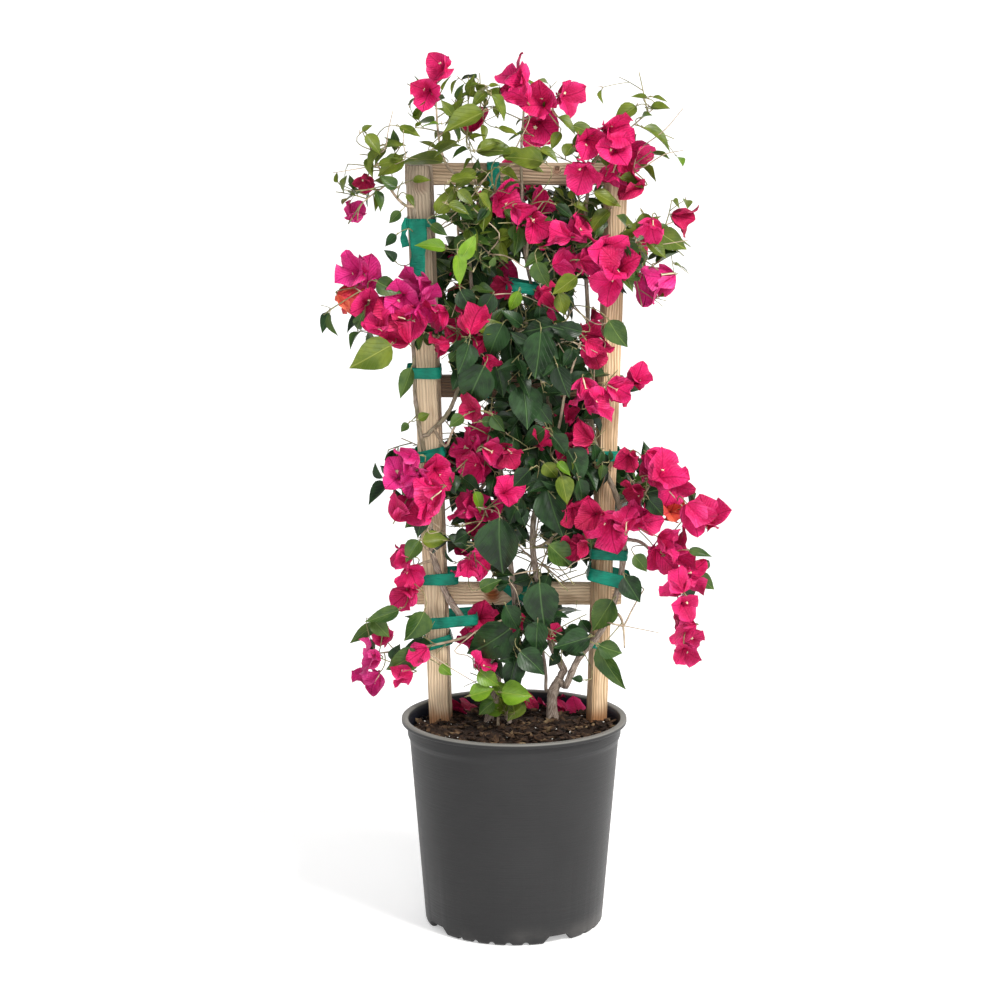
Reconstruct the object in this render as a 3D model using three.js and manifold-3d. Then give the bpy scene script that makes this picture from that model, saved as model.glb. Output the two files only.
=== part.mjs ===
// Bougainvillea in a nursery pot, trained on a small ladder trellis and held to it with tie tape.
// Millimetres, +Z up. The origin is the middle of the pot's flat underside, and the plant's face
// looks along -Y. Every stem, bough, leaf mass, post, bar and tie is one closed solid of its own.
import * as THREE from "three";
import { mergeVertices } from "three/addons/utils/BufferGeometryUtils.js";
import Module from "manifold-3d";

const wasm = await Module();
wasm.setup();

// Clearance between pieces that touch on the real plant, and the size of a sliver that joining leaves
const GAP = 0.3;
const SLIVER = 0.03;

// Nursery pot: a thin tapered wall, a rolled rim over a shallow band, a pressed floor on a foot ring
const POT = {
  spokes: 32,
  height: 262,
  rimRadius: 140,
  rimDepth: 6.5,
  rimEdge: 1.8,
  mouthRadius: 132.4,
  bandRadius: 132.7,
  bandFoot: 241,
  bandStep: 7,
  wallFoot: 110.8,
  wallTaper: 0.0813,
  wall: 2.4,
  footRound: 6,
  footRing: 3.6,
  floorRise: 9,
  padRadius: 68,
};
const NOTCH = { perTurn: 4, first: -60, foot: 42, top: 27, height: 8.6 };

// Potting mix, flat where the stems stand and a little lower against the wall
const SOIL = { top: 247, flatRadius: 112, edgeTop: 244 };

// Trellis: two sawn stakes that spread upwards, and three bars nailed behind them
const POSTS = {
  post_left: { foot: [-92, 36], head: [-116, 36], top: 942, footWidth: 27, headWidth: 31, turn: -7 },
  post_right: { foot: [104, 37], head: [124, 37], top: 936, footWidth: 22, headWidth: 24.5, turn: 17 },
};
const POST_BOTTOM = 160;
const BARS = {
  bar_low: { left: -125, right: 135, z: 405 },
  bar_mid: { left: -124, right: 136, z: 668 },
  bar_top: { left: -134, right: 138, z: 930 },
};
const BAR = { height: 27, depth: 20 };

// Tie tape: a flat band round a post, or round a bar, with room for the stem it holds
const TAPE = { thickness: 1.1, slack: 0.4, corner: 3 };
const BOW = { width: 0.7, lean: 48, middle: [-12, -4] };
const POST_TIES = {
  tie_left_top: { post: "post_left", z: 872, width: 19, front: 16, tail: [-8, 74, 21] },
  tie_left_upper: { post: "post_left", z: 691, width: 15, front: 15, left: 7 },
  tie_left_middle: { post: "post_left", z: 590, width: 15, front: 15.5, slant: 12 },
  tie_left_bar: { post: "post_left", z: 434, width: 15, front: 16, right: 12, slant: 2 },
  tie_left_lower: { post: "post_left", z: 379, width: 15, front: 16, right: 34, slant: 5 },
  tie_left_foot: { post: "post_left", z: 351, width: 14, front: 3, slant: 16 },
  tie_right_upper: { post: "post_right", z: 588, width: 14, front: 15, left: 2, right: 1 },
  tie_right_middle: { post: "post_right", z: 464, width: 14, front: 10, right: 15, slant: -3 },
  tie_right_bar: { post: "post_right", z: 436, width: 18, front: 13, left: 1, right: 17, slant: -14 },
};
const BAR_TIES = {
  tie_bar_low: { bar: "bar_low", x: 18, width: 15, front: 6, bow: 26 },
  tie_bar_mid: { bar: "bar_mid", x: -37, width: 14, front: 3.5 },
  tie_bar_top: { bar: "bar_top", x: -26, width: 16, front: 4, tail: 16 },
};

// Stems and boughs: each starts on the potting mix or on another limb's side or tip (on, z),
// and runs through a few points with its thickness falling evenly from foot to tip
const LIMBS = {
  trunk: { foot: [49, 36], via: [[47.5, 36, 270], [50, 36, 285], [58, 37, 301]], radii: [7, 5.8], flare: 4 },
  stem_left: {
    foot: [-34, 30], radii: [5, 3.3], flare: 2,
    via: [[-21, 30, 308], [-43, 22, 356], [-66, 13, 385], [-88, 8.5, 424], [-103, 8, 480], [-104, 9, 557]],
  },
  stem_centre: {
    foot: [-8, 26], radii: [4, 1.9], flare: 2,
    via: [[-5, 30, 329], [1, 32, 400], [-7, 30, 465], [-17, 30, 570], [-20, 32, 680], [-23, 34, 790]],
  },
  stem_middle: {
    on: "trunk", z: 301, radii: [4.6, 2.2],
    via: [[47, 38, 346], [31, 36, 419], [23, 33, 490], [41, 32, 580], [42, 32, 660], [24, 34, 778]],
  },
  stem_thin: {
    on: "trunk", z: 283, toward: [-1, 0, 0.6], radii: [2.3, 1.5],
    via: [[39, 35, 314], [33, 32, 366]],
  },
  stem_right: {
    on: "trunk", z: 297, toward: [1, -0.5, 0.6], radii: [4.2, 2.1],
    via: [[81, 19, 331], [112, 9, 375], [133, 17, 440], [131, 16, 520], [97, 15, 612], [93, 30, 700],
      [86, 31, 860], [91, 27, 925]],
  },
  limb_left_outer: {
    on: "stem_left", z: 557, radii: [2.9, 1.9],
    via: [[-119, 10, 640], [-124, 9, 755], [-121, 8, 900]],
  },
  limb_left_inner: {
    on: "limb_left_outer", z: 612, toward: [1, 0.1, 0.7], radii: [2.6, 1.7],
    via: [[-78, 15, 648], [-53, 27, 730], [-56, 25, 850], [-64, 20, 935]],
  },
  limb_top: { on: "stem_middle", z: 778, radii: [2, 1.6], via: [[10, 26, 860], [8, 18, 975]] },
  bough_arch_high: {
    on: "stem_right", z: 528, toward: [1, -0.4, 0.4], radii: [2.5, 1.7],
    via: [[148, 6, 552], [166, 0, 561]],
  },
  bough_arch_low: {
    on: "stem_right", z: 482, toward: [1, -0.4, 0.1], radii: [2.5, 1.7],
    via: [[158, 4, 480], [180, -2, 460]],
  },
};
const LIMB_STEP = 44;

// Leaf masses. Each has a stem on a limb at height z, or in the potting mix, that forks to its tips
// [x, y, z, blooms], a reach given by its middle and half sizes, and a number of side twigs on each fork
const MASSES = {
  foot_shoot: {
    soil: [-20, 7], middle: [-18, 4, 298], half: [42, 34, 40], twigs: 3, young: true,
    tips: [[-20, 2, 318, 0]],
  },
  left_low: {
    on: "stem_left", z: 366, middle: [-150, 0, 345], half: [62, 48, 66], twigs: 2,
    tips: [[-172, -16, 345, 3], [-141, -18, 322, 1]],
  },
  centre_low: {
    on: "stem_thin", z: 366, middle: [12, 2, 362], half: [98, 56, 50], twigs: 3,
    tips: [[-48, -8, 371, 1], [78, -10, 358, 0], [10, -22, 372, 0]],
  },
  left_middle_low: {
    on: "stem_left", z: 458, middle: [-134, 4, 447], half: [42, 46, 50], twigs: 2,
    tips: [[-138, -8, 440, 3]],
  },
  centre_lower_left: {
    on: "stem_centre", z: 480, middle: [-38, 0, 495], half: [56, 56, 66], twigs: 3,
    tips: [[-36, -24, 527, 3], [-52, -16, 470, 2]],
  },
  centre_lower_right: {
    on: "stem_middle", z: 470, middle: [42, 0, 478], half: [62, 56, 68], twigs: 3,
    tips: [[66, -18, 512, 2], [32, -20, 452, 0]],
  },
  right_arch_high: {
    on: "bough_arch_high", z: 561, middle: [172, -4, 540], half: [88, 56, 62], twigs: 1,
    tips: [[174, -6, 568, 3], [214, 0, 518, 3], [142, -20, 510, 3]],
  },
  right_arch_low: {
    on: "bough_arch_low", z: 500, middle: [200, -2, 412], half: [46, 46, 70], twigs: 1,
    tips: [[196, -6, 462, 3], [209, 0, 414, 3], [214, 4, 372, 2]],
  },
  right_low: {
    on: "stem_right", z: 392, middle: [138, 0, 372], half: [40, 44, 62], twigs: 3,
    tips: [[136, -16, 352, 0], [160, -6, 424, 0]],
  },
  left_middle: {
    on: "stem_left", z: 535, middle: [-122, -8, 548], half: [50, 50, 54], twigs: 2,
    tips: [[-124, -20, 552, 6], [-100, -18, 520, 0]],
  },
  centre_middle_left: {
    on: "stem_centre", z: 600, middle: [-40, 0, 606], half: [54, 56, 56], twigs: 3,
    tips: [[-46, -22, 598, 3], [-24, -20, 642, 0]],
  },
  centre_middle_right: {
    on: "stem_middle", z: 592, middle: [52, 0, 596], half: [54, 56, 62], twigs: 3,
    tips: [[48, -20, 612, 1], [78, -10, 566, 0], [26, -18, 560, 0]],
  },
  right_middle: {
    on: "stem_right", z: 660, middle: [112, -2, 672], half: [52, 50, 44], twigs: 2,
    tips: [[96, -16, 676, 3], [134, -14, 684, 2]],
  },
  centre_upper: {
    on: "stem_middle", z: 706, middle: [22, -2, 722], half: [66, 58, 72], twigs: 3,
    tips: [[42, -20, 720, 0], [-2, -22, 752, 0], [72, -18, 776, 0]],
  },
  left_upper: {
    on: "limb_left_outer", z: 735, middle: [-158, -2, 768], half: [64, 50, 58], twigs: 2,
    tips: [[-122, -22, 776, 3], [-194, 0, 796, 3], [-166, -8, 732, 1]],
  },
  left_upper_inner: {
    on: "limb_left_inner", z: 724, middle: [-64, -2, 736], half: [48, 54, 60], twigs: 3,
    tips: [[-70, -18, 748, 3], [-40, -16, 712, 0], [-34, -18, 776, 0]],
  },
  left_top: {
    on: "limb_left_outer", z: 893, middle: [-146, 4, 928], half: [58, 52, 66], twigs: 3,
    tips: [[-172, -4, 962, 0], [-186, -4, 896, 2]],
  },
  crown_left: {
    on: "limb_left_inner", z: 933, middle: [-76, 6, 1012], half: [48, 54, 66], twigs: 3,
    tips: [[-94, -2, 1040, 2], [-56, -10, 992, 1], [-36, -8, 1012, 0]],
  },
  crown_middle: {
    on: "limb_top", z: 973, middle: [24, 8, 1006], half: [62, 56, 66], twigs: 3,
    tips: [[12, -2, 1034, 3], [46, -4, 1010, 3]],
  },
  crown_right: {
    on: "stem_right", z: 922, middle: [132, 4, 978], half: [84, 58, 74], twigs: 2,
    tips: [[112, -12, 966, 4], [142, -8, 938, 2], [166, 6, 1010, 0]],
  },
  right_upper: {
    on: "stem_right", z: 822, middle: [154, -2, 838], half: [76, 52, 60], twigs: 2,
    tips: [[116, -20, 836, 2], [192, -2, 876, 3], [166, -8, 812, 2]],
  },
  centre_top: {
    on: "limb_top", z: 832, middle: [40, -2, 872], half: [66, 54, 62], twigs: 2,
    tips: [[16, -20, 896, 3], [70, -20, 868, 3], [66, -16, 828, 0]],
  },
  left_top_inner: {
    on: "limb_left_inner", z: 850, middle: [-54, -2, 868], half: [56, 54, 74], twigs: 3,
    tips: [[-66, -14, 896, 0], [-30, -14, 838, 0], [-24, -16, 912, 0]],
  },
  back_low: {
    on: "stem_middle", z: 440, toward: 1, middle: [24, 116, 440], half: [72, 52, 80], twigs: 3,
    tips: [[16, 118, 446, 3]],
  },
  back_left: {
    on: "stem_centre", z: 530, toward: 1, middle: [-100, 110, 556], half: [60, 52, 74], twigs: 3,
    tips: [[-74, 112, 552, 3]],
  },
  back_right: {
    on: "stem_right", z: 640, toward: 1, middle: [118, 112, 560], half: [66, 52, 84], twigs: 3,
    tips: [[84, 112, 600, 4]],
  },
  back_middle: {
    on: "stem_middle", z: 630, toward: 1, middle: [10, 114, 620], half: [70, 54, 84], twigs: 4,
    tips: [[8, 116, 608, 3]],
  },
  back_upper: {
    on: "stem_centre", z: 770, toward: 1, middle: [-34, 112, 800], half: [84, 52, 84], twigs: 4,
    tips: [[-44, 112, 806, 4]],
  },
  back_top: {
    on: "stem_right", z: 800, toward: 1, middle: [66, 106, 868], half: [88, 52, 84], twigs: 4,
    tips: [[60, 110, 850, 4]],
  },
};

// Leaves shrink from the first size to the last as tries go by, and grow on twigs at [place, side]
const LEAF = {
  length: 47,
  width: 33,
  sizes: [1.3, 0.75],
  thickness: 1.8,
  thickest: 0.3,
  widest: 0.42,
  fold: 0.14,
  tries: 14,
  spacing: 26,
  onTwig: [[0.95, 1], [0.6, -1], [0.9, -1], [0.35, 1]],
};

// Blooms: three bracts, each with shoulders and a tip [along, across], on a stalk
const BLOOM = {
  bract: 35,
  width: 33,
  outline: [[0.6, -0.5], [1.05, 0], [0.6, 0.5]],
  open: 58,
  heart: 7,
  stalk: [14, 34],
  radii: [0.7, 0.9],
  tries: 5,
};

// Side twigs, and the main forks of a mass, with their radii from foot to tip
const TWIG = { radii: [0.8, 0.65], length: 50, open: 64, tries: 4 };
const SHOOT = { main: [3, 2.2], side: [1.4, 1.2], steps: 3, neck: 6, leaves: 0.5 };

// The middle of the plant, the square of the reach of a mass, and how far its pieces keep from things
const PLANT_AXIS = [10, 42];
const REACH = 1.7;
const KEEP_OFF = { limb: 3.5, wood: 5.5, tape: 4.5, pot: 4, cell: 0.8, own: 1.6, root: 8 };
const GOLDEN_ANGLE = Math.PI * (3 - Math.sqrt(5));

const COLOURS = {
  pot: [0x3f3f40, 0.45], soil: [0x3a261b, 0.95], wood: [0xc9a777, 0.75], tape: [0x0e8f6e, 0.4],
  bark: [0x8d7b6e, 0.85], leaf: [0x3d6a3a, 0.55], young: [0x6d9a3a, 0.5],
};

// Small vector and angle helpers
const vec = (x, y, z) => new THREE.Vector3(x, y, z);
const radians = THREE.MathUtils.degToRad;
const UP = vec(0, 0, 1);

// Seeded numbers between 0 and 1, the same on every run
function seeded(seed) {
  let state = seed >>> 0;
  return () => {
    state = (state + 0x6d2b79f5) >>> 0;
    let mixed = Math.imul(state ^ (state >>> 15), 1 | state);
    mixed = (mixed + Math.imul(mixed ^ (mixed >>> 7), 61 | mixed)) ^ mixed;
    return ((mixed ^ (mixed >>> 14)) >>> 0) / 4294967296;
  };
}

// A closed three.js geometry as a solid, with shared corners merged and collapsed faces dropped
function solid(geometry) {
  const bare = geometry.clone();
  bare.deleteAttribute("normal");
  bare.deleteAttribute("uv");
  const merged = mergeVertices(bare, 1e-3);
  const corners = merged.index.array;
  const kept = [];
  for (let i = 0; i < corners.length; i += 3) {
    const [a, b, c] = [corners[i], corners[i + 1], corners[i + 2]];
    if (a !== b && b !== c && c !== a) kept.push(a, b, c);
  }
  const vertProperties = new Float32Array(merged.attributes.position.array);
  return new wasm.Manifold(new wasm.Mesh({ numProp: 3, vertProperties, triVerts: new Uint32Array(kept) }));
}

// A solid back as a three.js geometry
function geometryOf(body) {
  const mesh = body.getMesh();
  const geometry = new THREE.BufferGeometry();
  geometry.setAttribute("position", new THREE.BufferAttribute(new Float32Array(mesh.vertProperties), 3));
  geometry.setIndex(Array.from(mesh.triVerts));
  geometry.computeVertexNormals();
  return geometry;
}

// The largest single body of a join, without loose scraps, sealed hollows or slivers
function largest(body) {
  const bigger = (one, other) => (other.volume() > one.volume() ? other : one);
  const pick = (joined) => joined.decompose().reduce(bigger);
  return pick(solid(geometryOf(pick(body).simplify(SLIVER))));
}

function meshOf(name, geometry, [color, roughness]) {
  const mesh = new THREE.Mesh(geometry, new THREE.MeshStandardMaterial({ color, roughness, metalness: 0 }));
  mesh.name = name;
  return mesh;
}

// Points of an arc in the plane of a profile, from one angle to another in degrees
function arc(centreX, centreY, radius, from, to, steps) {
  return Array.from({ length: steps + 1 }, (_, i) => {
    const angle = radians(from + ((to - from) * i) / steps);
    return [centreX + radius * Math.cos(angle), centreY + radius * Math.sin(angle)];
  });
}

// A profile of [radius, height] points spun about the Z axis
function lathe(profile) {
  const points = profile.map(([radius, height]) => new THREE.Vector2(Math.max(radius, 0), height));
  return new THREE.LatheGeometry(points, POT.spokes).rotateX(Math.PI / 2);
}

// Pot and potting mix
const wallRadius = (z) => POT.wallFoot + POT.wallTaper * z;
const innerRadius = (z) => wallRadius(z) - POT.wall;

function potShell() {
  const underside = POT.floorRise;
  const floor = underside + POT.wall;
  const footRadius = wallRadius(POT.footRound) - POT.footRound;
  const rimFoot = POT.height - POT.rimDepth;
  const step = POT.bandFoot - POT.bandStep;
  const profile = [
    [0, 0],
    [POT.padRadius, 0],
    [POT.padRadius + underside, underside],
    [footRadius - POT.footRing, underside],
    [footRadius - POT.footRing, 0],
    ...arc(footRadius, POT.footRound, POT.footRound, -90, 0, 2),
    [wallRadius(step), step],
    [POT.bandRadius, POT.bandFoot],
    [POT.bandRadius, rimFoot],
    [POT.rimRadius, rimFoot],
    [POT.rimRadius, POT.height - POT.rimEdge],
    [POT.rimRadius - POT.rimEdge, POT.height],
    [POT.mouthRadius, POT.height],
    [POT.mouthRadius - POT.wall, rimFoot - 1],
    [innerRadius(step), step],
    [innerRadius(floor), floor],
    [POT.padRadius + underside - 1, floor],
    [POT.padRadius - 1, POT.wall],
    [0, POT.wall],
  ];
  return solid(lathe(profile));
}

// A prism that cuts a slot through the foot ring at one angle, wider at the ground
function slotCutter(angle, footWidth, topWidth, height) {
  const reach = 24;
  const below = 1;
  const shape = new THREE.Shape([
    new THREE.Vector2(-footWidth / 2, -below),
    new THREE.Vector2(footWidth / 2, -below),
    new THREE.Vector2(topWidth / 2, height),
    new THREE.Vector2(-topWidth / 2, height),
  ]);
  const cutter = new THREE.ExtrudeGeometry(shape, { depth: reach, bevelEnabled: false });
  cutter.rotateX(Math.PI / 2);
  cutter.translate(0, -(POT.wallFoot - reach / 2), 0);
  cutter.rotateZ(radians(angle + 90));
  return solid(cutter);
}

function pot() {
  let shell = potShell();
  for (let i = 0; i < NOTCH.perTurn; i += 1) {
    const angle = NOTCH.first + (360 / NOTCH.perTurn) * i;
    shell = shell.subtract(slotCutter(angle, NOTCH.foot, NOTCH.top, NOTCH.height));
  }
  return shell;
}

function soil() {
  const floor = POT.floorRise + POT.wall;
  const profile = [
    [0, POT.wall + GAP],
    [POT.padRadius - 1 - GAP, POT.wall + GAP],
    [POT.padRadius + POT.floorRise - 1, floor + GAP],
    [innerRadius(floor) - GAP, floor + GAP],
    [innerRadius(SOIL.edgeTop - 14) - GAP, SOIL.edgeTop - 14],
    [innerRadius(SOIL.edgeTop - 14) - GAP, SOIL.edgeTop],
    [SOIL.flatRadius, SOIL.top],
    [0, SOIL.top],
  ];
  let mix = solid(lathe(profile));
  for (const post of Object.values(POSTS)) mix = mix.subtract(solid(postGeometry(post, GAP)));
  return mix;
}

// Trellis
const span = (from, to, share) => from + (to - from) * share;
const postShare = (z) => (z - SOIL.top) / (POSTS.post_left.top - SOIL.top);

function postAt(post, z) {
  const share = postShare(z);
  const centre = vec(span(post.foot[0], post.head[0], share), span(post.foot[1], post.head[1], share), z);
  return { centre, width: span(post.footWidth, post.headWidth, share) };
}

// A stake as a tapered square bar, or the pocket it needs when grown by a gap
function postGeometry(post, grow = 0) {
  const bottom = postAt(post, POST_BOTTOM - grow);
  const top = postAt(post, post.top + grow);
  const length = top.centre.z - bottom.centre.z;
  const box = new THREE.BoxGeometry(1, 1, length);
  const position = box.attributes.position;
  for (let i = 0; i < position.count; i += 1) {
    const end = position.getZ(i) < 0 ? bottom : top;
    const corner = vec(position.getX(i), position.getY(i), 0).multiplyScalar(end.width + 2 * grow);
    corner.applyAxisAngle(UP, radians(post.turn)).add(end.centre);
    position.setXYZ(i, corner.x, corner.y, corner.z);
  }
  return box;
}

// How far a turned square reaches along X or Y from its middle
function turnedReach(width, turn) {
  const angle = radians(Math.abs(turn));
  return (width / 2) * (Math.cos(angle) + Math.sin(angle));
}

// The line behind both stakes at one height, which a bar lies against
function backOfPosts(z) {
  return Object.values(POSTS).map((post) => {
    const { centre, width } = postAt(post, z);
    return vec(centre.x, centre.y + turnedReach(width, post.turn), z);
  });
}

function barPlacing(bar) {
  const [left, right] = backOfPosts(bar.z + BAR.height / 2);
  const yaw = Math.atan2(right.y - left.y, right.x - left.x);
  const middleX = (bar.left + bar.right) / 2;
  const frontY = left.y + Math.tan(yaw) * (middleX - left.x) + GAP + 0.2;
  return { yaw, frontY, centre: vec(middleX, frontY + BAR.depth / 2, bar.z) };
}

function barMesh(name, bar) {
  const box = new THREE.BoxGeometry(bar.right - bar.left, BAR.depth, BAR.height);
  const mesh = meshOf(name, box, COLOURS.wood);
  const { yaw, centre } = barPlacing(bar);
  mesh.position.copy(centre);
  mesh.rotation.z = yaw;
  return mesh;
}

// Tie tape
// A band: a rectangle with cut corners less the same shape inside it, drawn up to its width
function band(left, right, front, back, width) {
  const outline = (grow) => {
    const [x0, x1, y0, y1] = [left - grow, right + grow, front - grow, back + grow];
    const cut = TAPE.corner;
    return [[x0 + cut, y0], [x1 - cut, y0], [x1, y0 + cut], [x1, y1], [x0, y1], [x0, y0 + cut]]
      .map(([x, y]) => new THREE.Vector2(x, y));
  };
  const shape = new THREE.Shape(outline(TAPE.thickness));
  shape.holes.push(new THREE.Path(outline(0)));
  const loop = new THREE.ExtrudeGeometry(shape, { depth: width, bevelEnabled: false });
  return loop.translate(0, 0, -width / 2);
}

function strip(width, length) {
  return new THREE.BoxGeometry(width, TAPE.thickness, length);
}

function postTie(name, tie) {
  const post = POSTS[tie.post];
  const { centre, width } = postAt(post, tie.z);
  const spare = TAPE.slack + Math.abs(tie.slant ?? 0) * 0.11 + tie.width * 0.02;
  const half = turnedReach(width, post.turn) + spare;
  const front = -half - tie.front;
  const loop = band(-half - (tie.left ?? 0), half + (tie.right ?? 0), front, half, tie.width);
  let body = solid(loop.rotateY(radians(-(tie.slant ?? 0))));
  if (tie.tail) {
    const [tailX, length, tailWidth] = tie.tail;
    const tail = strip(tailWidth, length).translate(tailX, front - TAPE.thickness / 2, -length / 2);
    body = body.add(solid(tail));
  }
  const mesh = meshOf(name, geometryOf(body), COLOURS.tape);
  mesh.position.copy(centre);
  return mesh;
}

// Behind a stake the tie passes between stake and bar, or over the bar's back where they cross
function barTie(name, tie) {
  const bar = BARS[tie.bar];
  const { yaw, frontY } = barPlacing(bar);
  const slack = TAPE.slack;
  const y = frontY + Math.tan(yaw) * (tie.x - (bar.left + bar.right) / 2);
  const half = BAR.height / 2 + slack;
  const loop = band(-half, half, -slack - tie.front, BAR.depth + slack, tie.width).rotateY(Math.PI / 2);
  let body = solid(loop);
  const faceY = -slack - tie.front - TAPE.thickness / 2;
  if (tie.tail) {
    body = body.add(solid(strip(tie.width, tie.tail + half).translate(0, faceY, -(tie.tail + half) / 2)));
  }
  if (tie.bow) {
    for (const lean of [-1, 1]) {
      const wing = strip(tie.width * BOW.width, 2 * tie.bow).rotateY(radians(BOW.lean * lean));
      body = body.add(solid(wing.translate(BOW.middle[0], faceY, BOW.middle[1])));
    }
  }
  const mesh = meshOf(name, geometryOf(body), COLOURS.tape);
  mesh.position.set(tie.x, y, bar.z);
  mesh.rotation.z = yaw;
  return mesh;
}

// Stems, boughs and twigs
// A curve followed in a few straight pieces, so that what grows on it meets its tube
class Bent extends THREE.Curve {
  constructor(corners) {
    super();
    this.corners = corners;
  }

  getPoint(t, target = new THREE.Vector3()) {
    const pieces = this.corners.length - 1;
    const piece = Math.min(Math.floor(t * pieces), pieces - 1);
    return target.copy(this.corners[piece]).lerp(this.corners[piece + 1], t * pieces - piece);
  }
}

// A closed tapered tube: rings of corners carried along a curve without twist, and two flat ends.
// The first ring is square to the way it starts, so that it lies flat against what it stands on.
function tube(curve, radiusAt, sides, steps, startWay = curve.getTangent(0)) {
  const positions = [];
  const index = [];
  let side = null;
  for (let i = 0; i <= steps; i += 1) {
    const t = i / steps;
    const along = i === 0 ? startWay : curve.getTangent(t);
    side ??= Math.abs(along.z) > 0.9 ? vec(1, 0, 0) : vec(0, 0, 1);
    side = side.clone().addScaledVector(along, -side.dot(along)).normalize();
    const other = along.clone().cross(side);
    const centre = curve.getPoint(t);
    for (let j = 0; j < sides; j += 1) {
      const angle = (2 * Math.PI * j) / sides;
      const corner = centre.clone()
        .addScaledVector(side, radiusAt(t) * Math.cos(angle))
        .addScaledVector(other, radiusAt(t) * Math.sin(angle));
      positions.push(corner.x, corner.y, corner.z);
    }
  }
  for (let i = 0; i < steps; i += 1) {
    for (let j = 0; j < sides; j += 1) {
      const [a, b] = [i * sides + j, i * sides + ((j + 1) % sides)];
      index.push(a, b, b + sides, a, b + sides, a + sides);
    }
  }
  const last = steps * sides;
  for (let j = 1; j < sides - 1; j += 1) index.push(0, j + 1, j, last, last + j, last + j + 1);
  const geometry = new THREE.BufferGeometry();
  geometry.setAttribute("position", new THREE.Float32BufferAttribute(positions, 3));
  geometry.setIndex(index);
  geometry.computeVertexNormals();
  return geometry;
}

// The share of a curve at which it first reaches a height
function shareAtHeight(curve, z) {
  const steps = 200;
  for (let i = 0; i <= steps; i += 1) {
    if (curve.getPoint(i / steps).z >= z) return i / steps;
  }
  return 1;
}

// Where a side shoot starts: just clear of the limb's skin, square to it, on the side it heads for.
// At the limb's very end it starts just beyond the cut end instead.
function startOn(limb, z, heading) {
  const t = shareAtHeight(limb.curve, z);
  const along = limb.curve.getTangent(t);
  const centre = limb.curve.getPoint(t);
  if (t > 0.995) return { start: centre.addScaledVector(along, GAP), way: along };
  const way = heading.clone().addScaledVector(along, -heading.dot(along)).normalize();
  return { start: centre.addScaledVector(way, limb.radiusAt(t) + GAP), way };
}

// A limb leaves its host square to it for a short neck, then bends to its own points
const limbs = {};
for (const [name, row] of Object.entries(LIMBS)) {
  const via = row.via.map((point) => vec(...point));
  let start = row.foot && vec(...row.foot, SOIL.top + GAP);
  let way = UP;
  const corners = [];
  if (!row.foot) {
    const host = limbs[row.on];
    const heading = row.toward ? vec(...row.toward) : via[0].clone().sub(host.curve.getPoint(1));
    ({ start, way } = startOn(host, row.z, heading));
    corners.push(start);
    start = start.clone().addScaledVector(way, 2.5 * row.radii[0]);
  }
  const smooth = new THREE.CatmullRomCurve3([start, ...via], false, "catmullrom", 0.5);
  corners.push(...smooth.getPoints(Math.max(3, Math.round(smooth.getLength() / LIMB_STEP))));
  const curve = new Bent(corners);
  const length = curve.getLength();
  const flare = row.flare ?? 0;
  const radiusAt = (t) => span(row.radii[0], row.radii[1], t) + flare * Math.exp((-t * length) / 9);
  limbs[name] = { curve, way, radiusAt, steps: corners.length - 1, sides: row.radii[0] > 4 ? 8 : 6 };
}

function limbMesh(name, { curve, way, radiusAt, steps, sides }) {
  return meshOf(name, tube(curve, radiusAt, sides, steps, way), COLOURS.bark);
}

// Leaf masses
// Main forks of a mass: the first runs from the limb to the first tip, the others leave it partway
// at an angle and are thinner
function forksOf(mass) {
  const tips = mass.tips.map(([x, y, z]) => vec(x, y, z));
  const heading = mass.toward ? vec(0, mass.toward, 0.1) : tips[0].clone().sub(vec(...PLANT_AXIS, tips[0].z));
  const root = mass.soil
    ? { start: vec(...mass.soil, SOIL.top + GAP), way: UP.clone() }
    : startOn(limbs[mass.on], mass.z, heading);
  const forks = [];
  tips.forEach((tip, i) => {
    let { start, way } = root;
    let neck = SHOOT.neck;
    if (i > 0) {
      const host = forks[0].curve;
      const along = host.getTangent(SHOOT.leaves);
      start = host.getPoint(SHOOT.leaves);
      way = tip.clone().sub(start).normalize();
      way.addScaledVector(along, -1.2 * Math.max(0, way.dot(along) - 0.5)).normalize();
      neck = 2 * SHOOT.neck;
    }
    const free = start.clone().addScaledVector(way, neck);
    const reach = free.distanceTo(tip);
    const bend = free.clone().addScaledVector(way, 0.25 * reach).addScaledVector(UP, 0.08 * reach);
    const smooth = new THREE.QuadraticBezierCurve3(free, bend, tip);
    const curve = new Bent([start, ...smooth.getPoints(SHOOT.steps - 1)]);
    forks.push({ curve, way, radii: i > 0 ? SHOOT.side : SHOOT.main });
  });
  return forks;
}

const masses = Object.entries(MASSES).map(([name, row], i) => ({
  ...row,
  name,
  seed: 101 + 17 * i,
  centre: vec(...row.middle),
  extent: vec(...row.half),
  weight: (row.half[0] * row.half[1] * row.half[2]) ** (2 / 3),
  forks: forksOf(row),
}));

// Points along a limb, fork or twig, each with the distance that leaves keep from it
function pointsAlong(curve, radiusAt, off, spacing) {
  const steps = Math.max(2, Math.ceil(curve.getLength() / spacing));
  return Array.from({ length: steps + 1 }, (_, i) => ({
    at: curve.getPoint(i / steps),
    off: radiusAt(i / steps) + off,
  }));
}

// What a mass keeps clear of: every limb, and the other masses' forks
function obstaclesOf(mass) {
  const others = masses.filter((other) => other !== mass).flatMap((other) => other.forks);
  const near = mass.extent.length() + 20;
  return [
    ...Object.values(limbs).flatMap((limb) => pointsAlong(limb.curve, limb.radiusAt, KEEP_OFF.limb, 4)),
    ...others.flatMap((fork) => pointsAlong(fork.curve, () => fork.radii[0], KEEP_OFF.limb, 4)),
  ].filter(({ at }) => at.distanceTo(mass.centre) < near);
}

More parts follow.
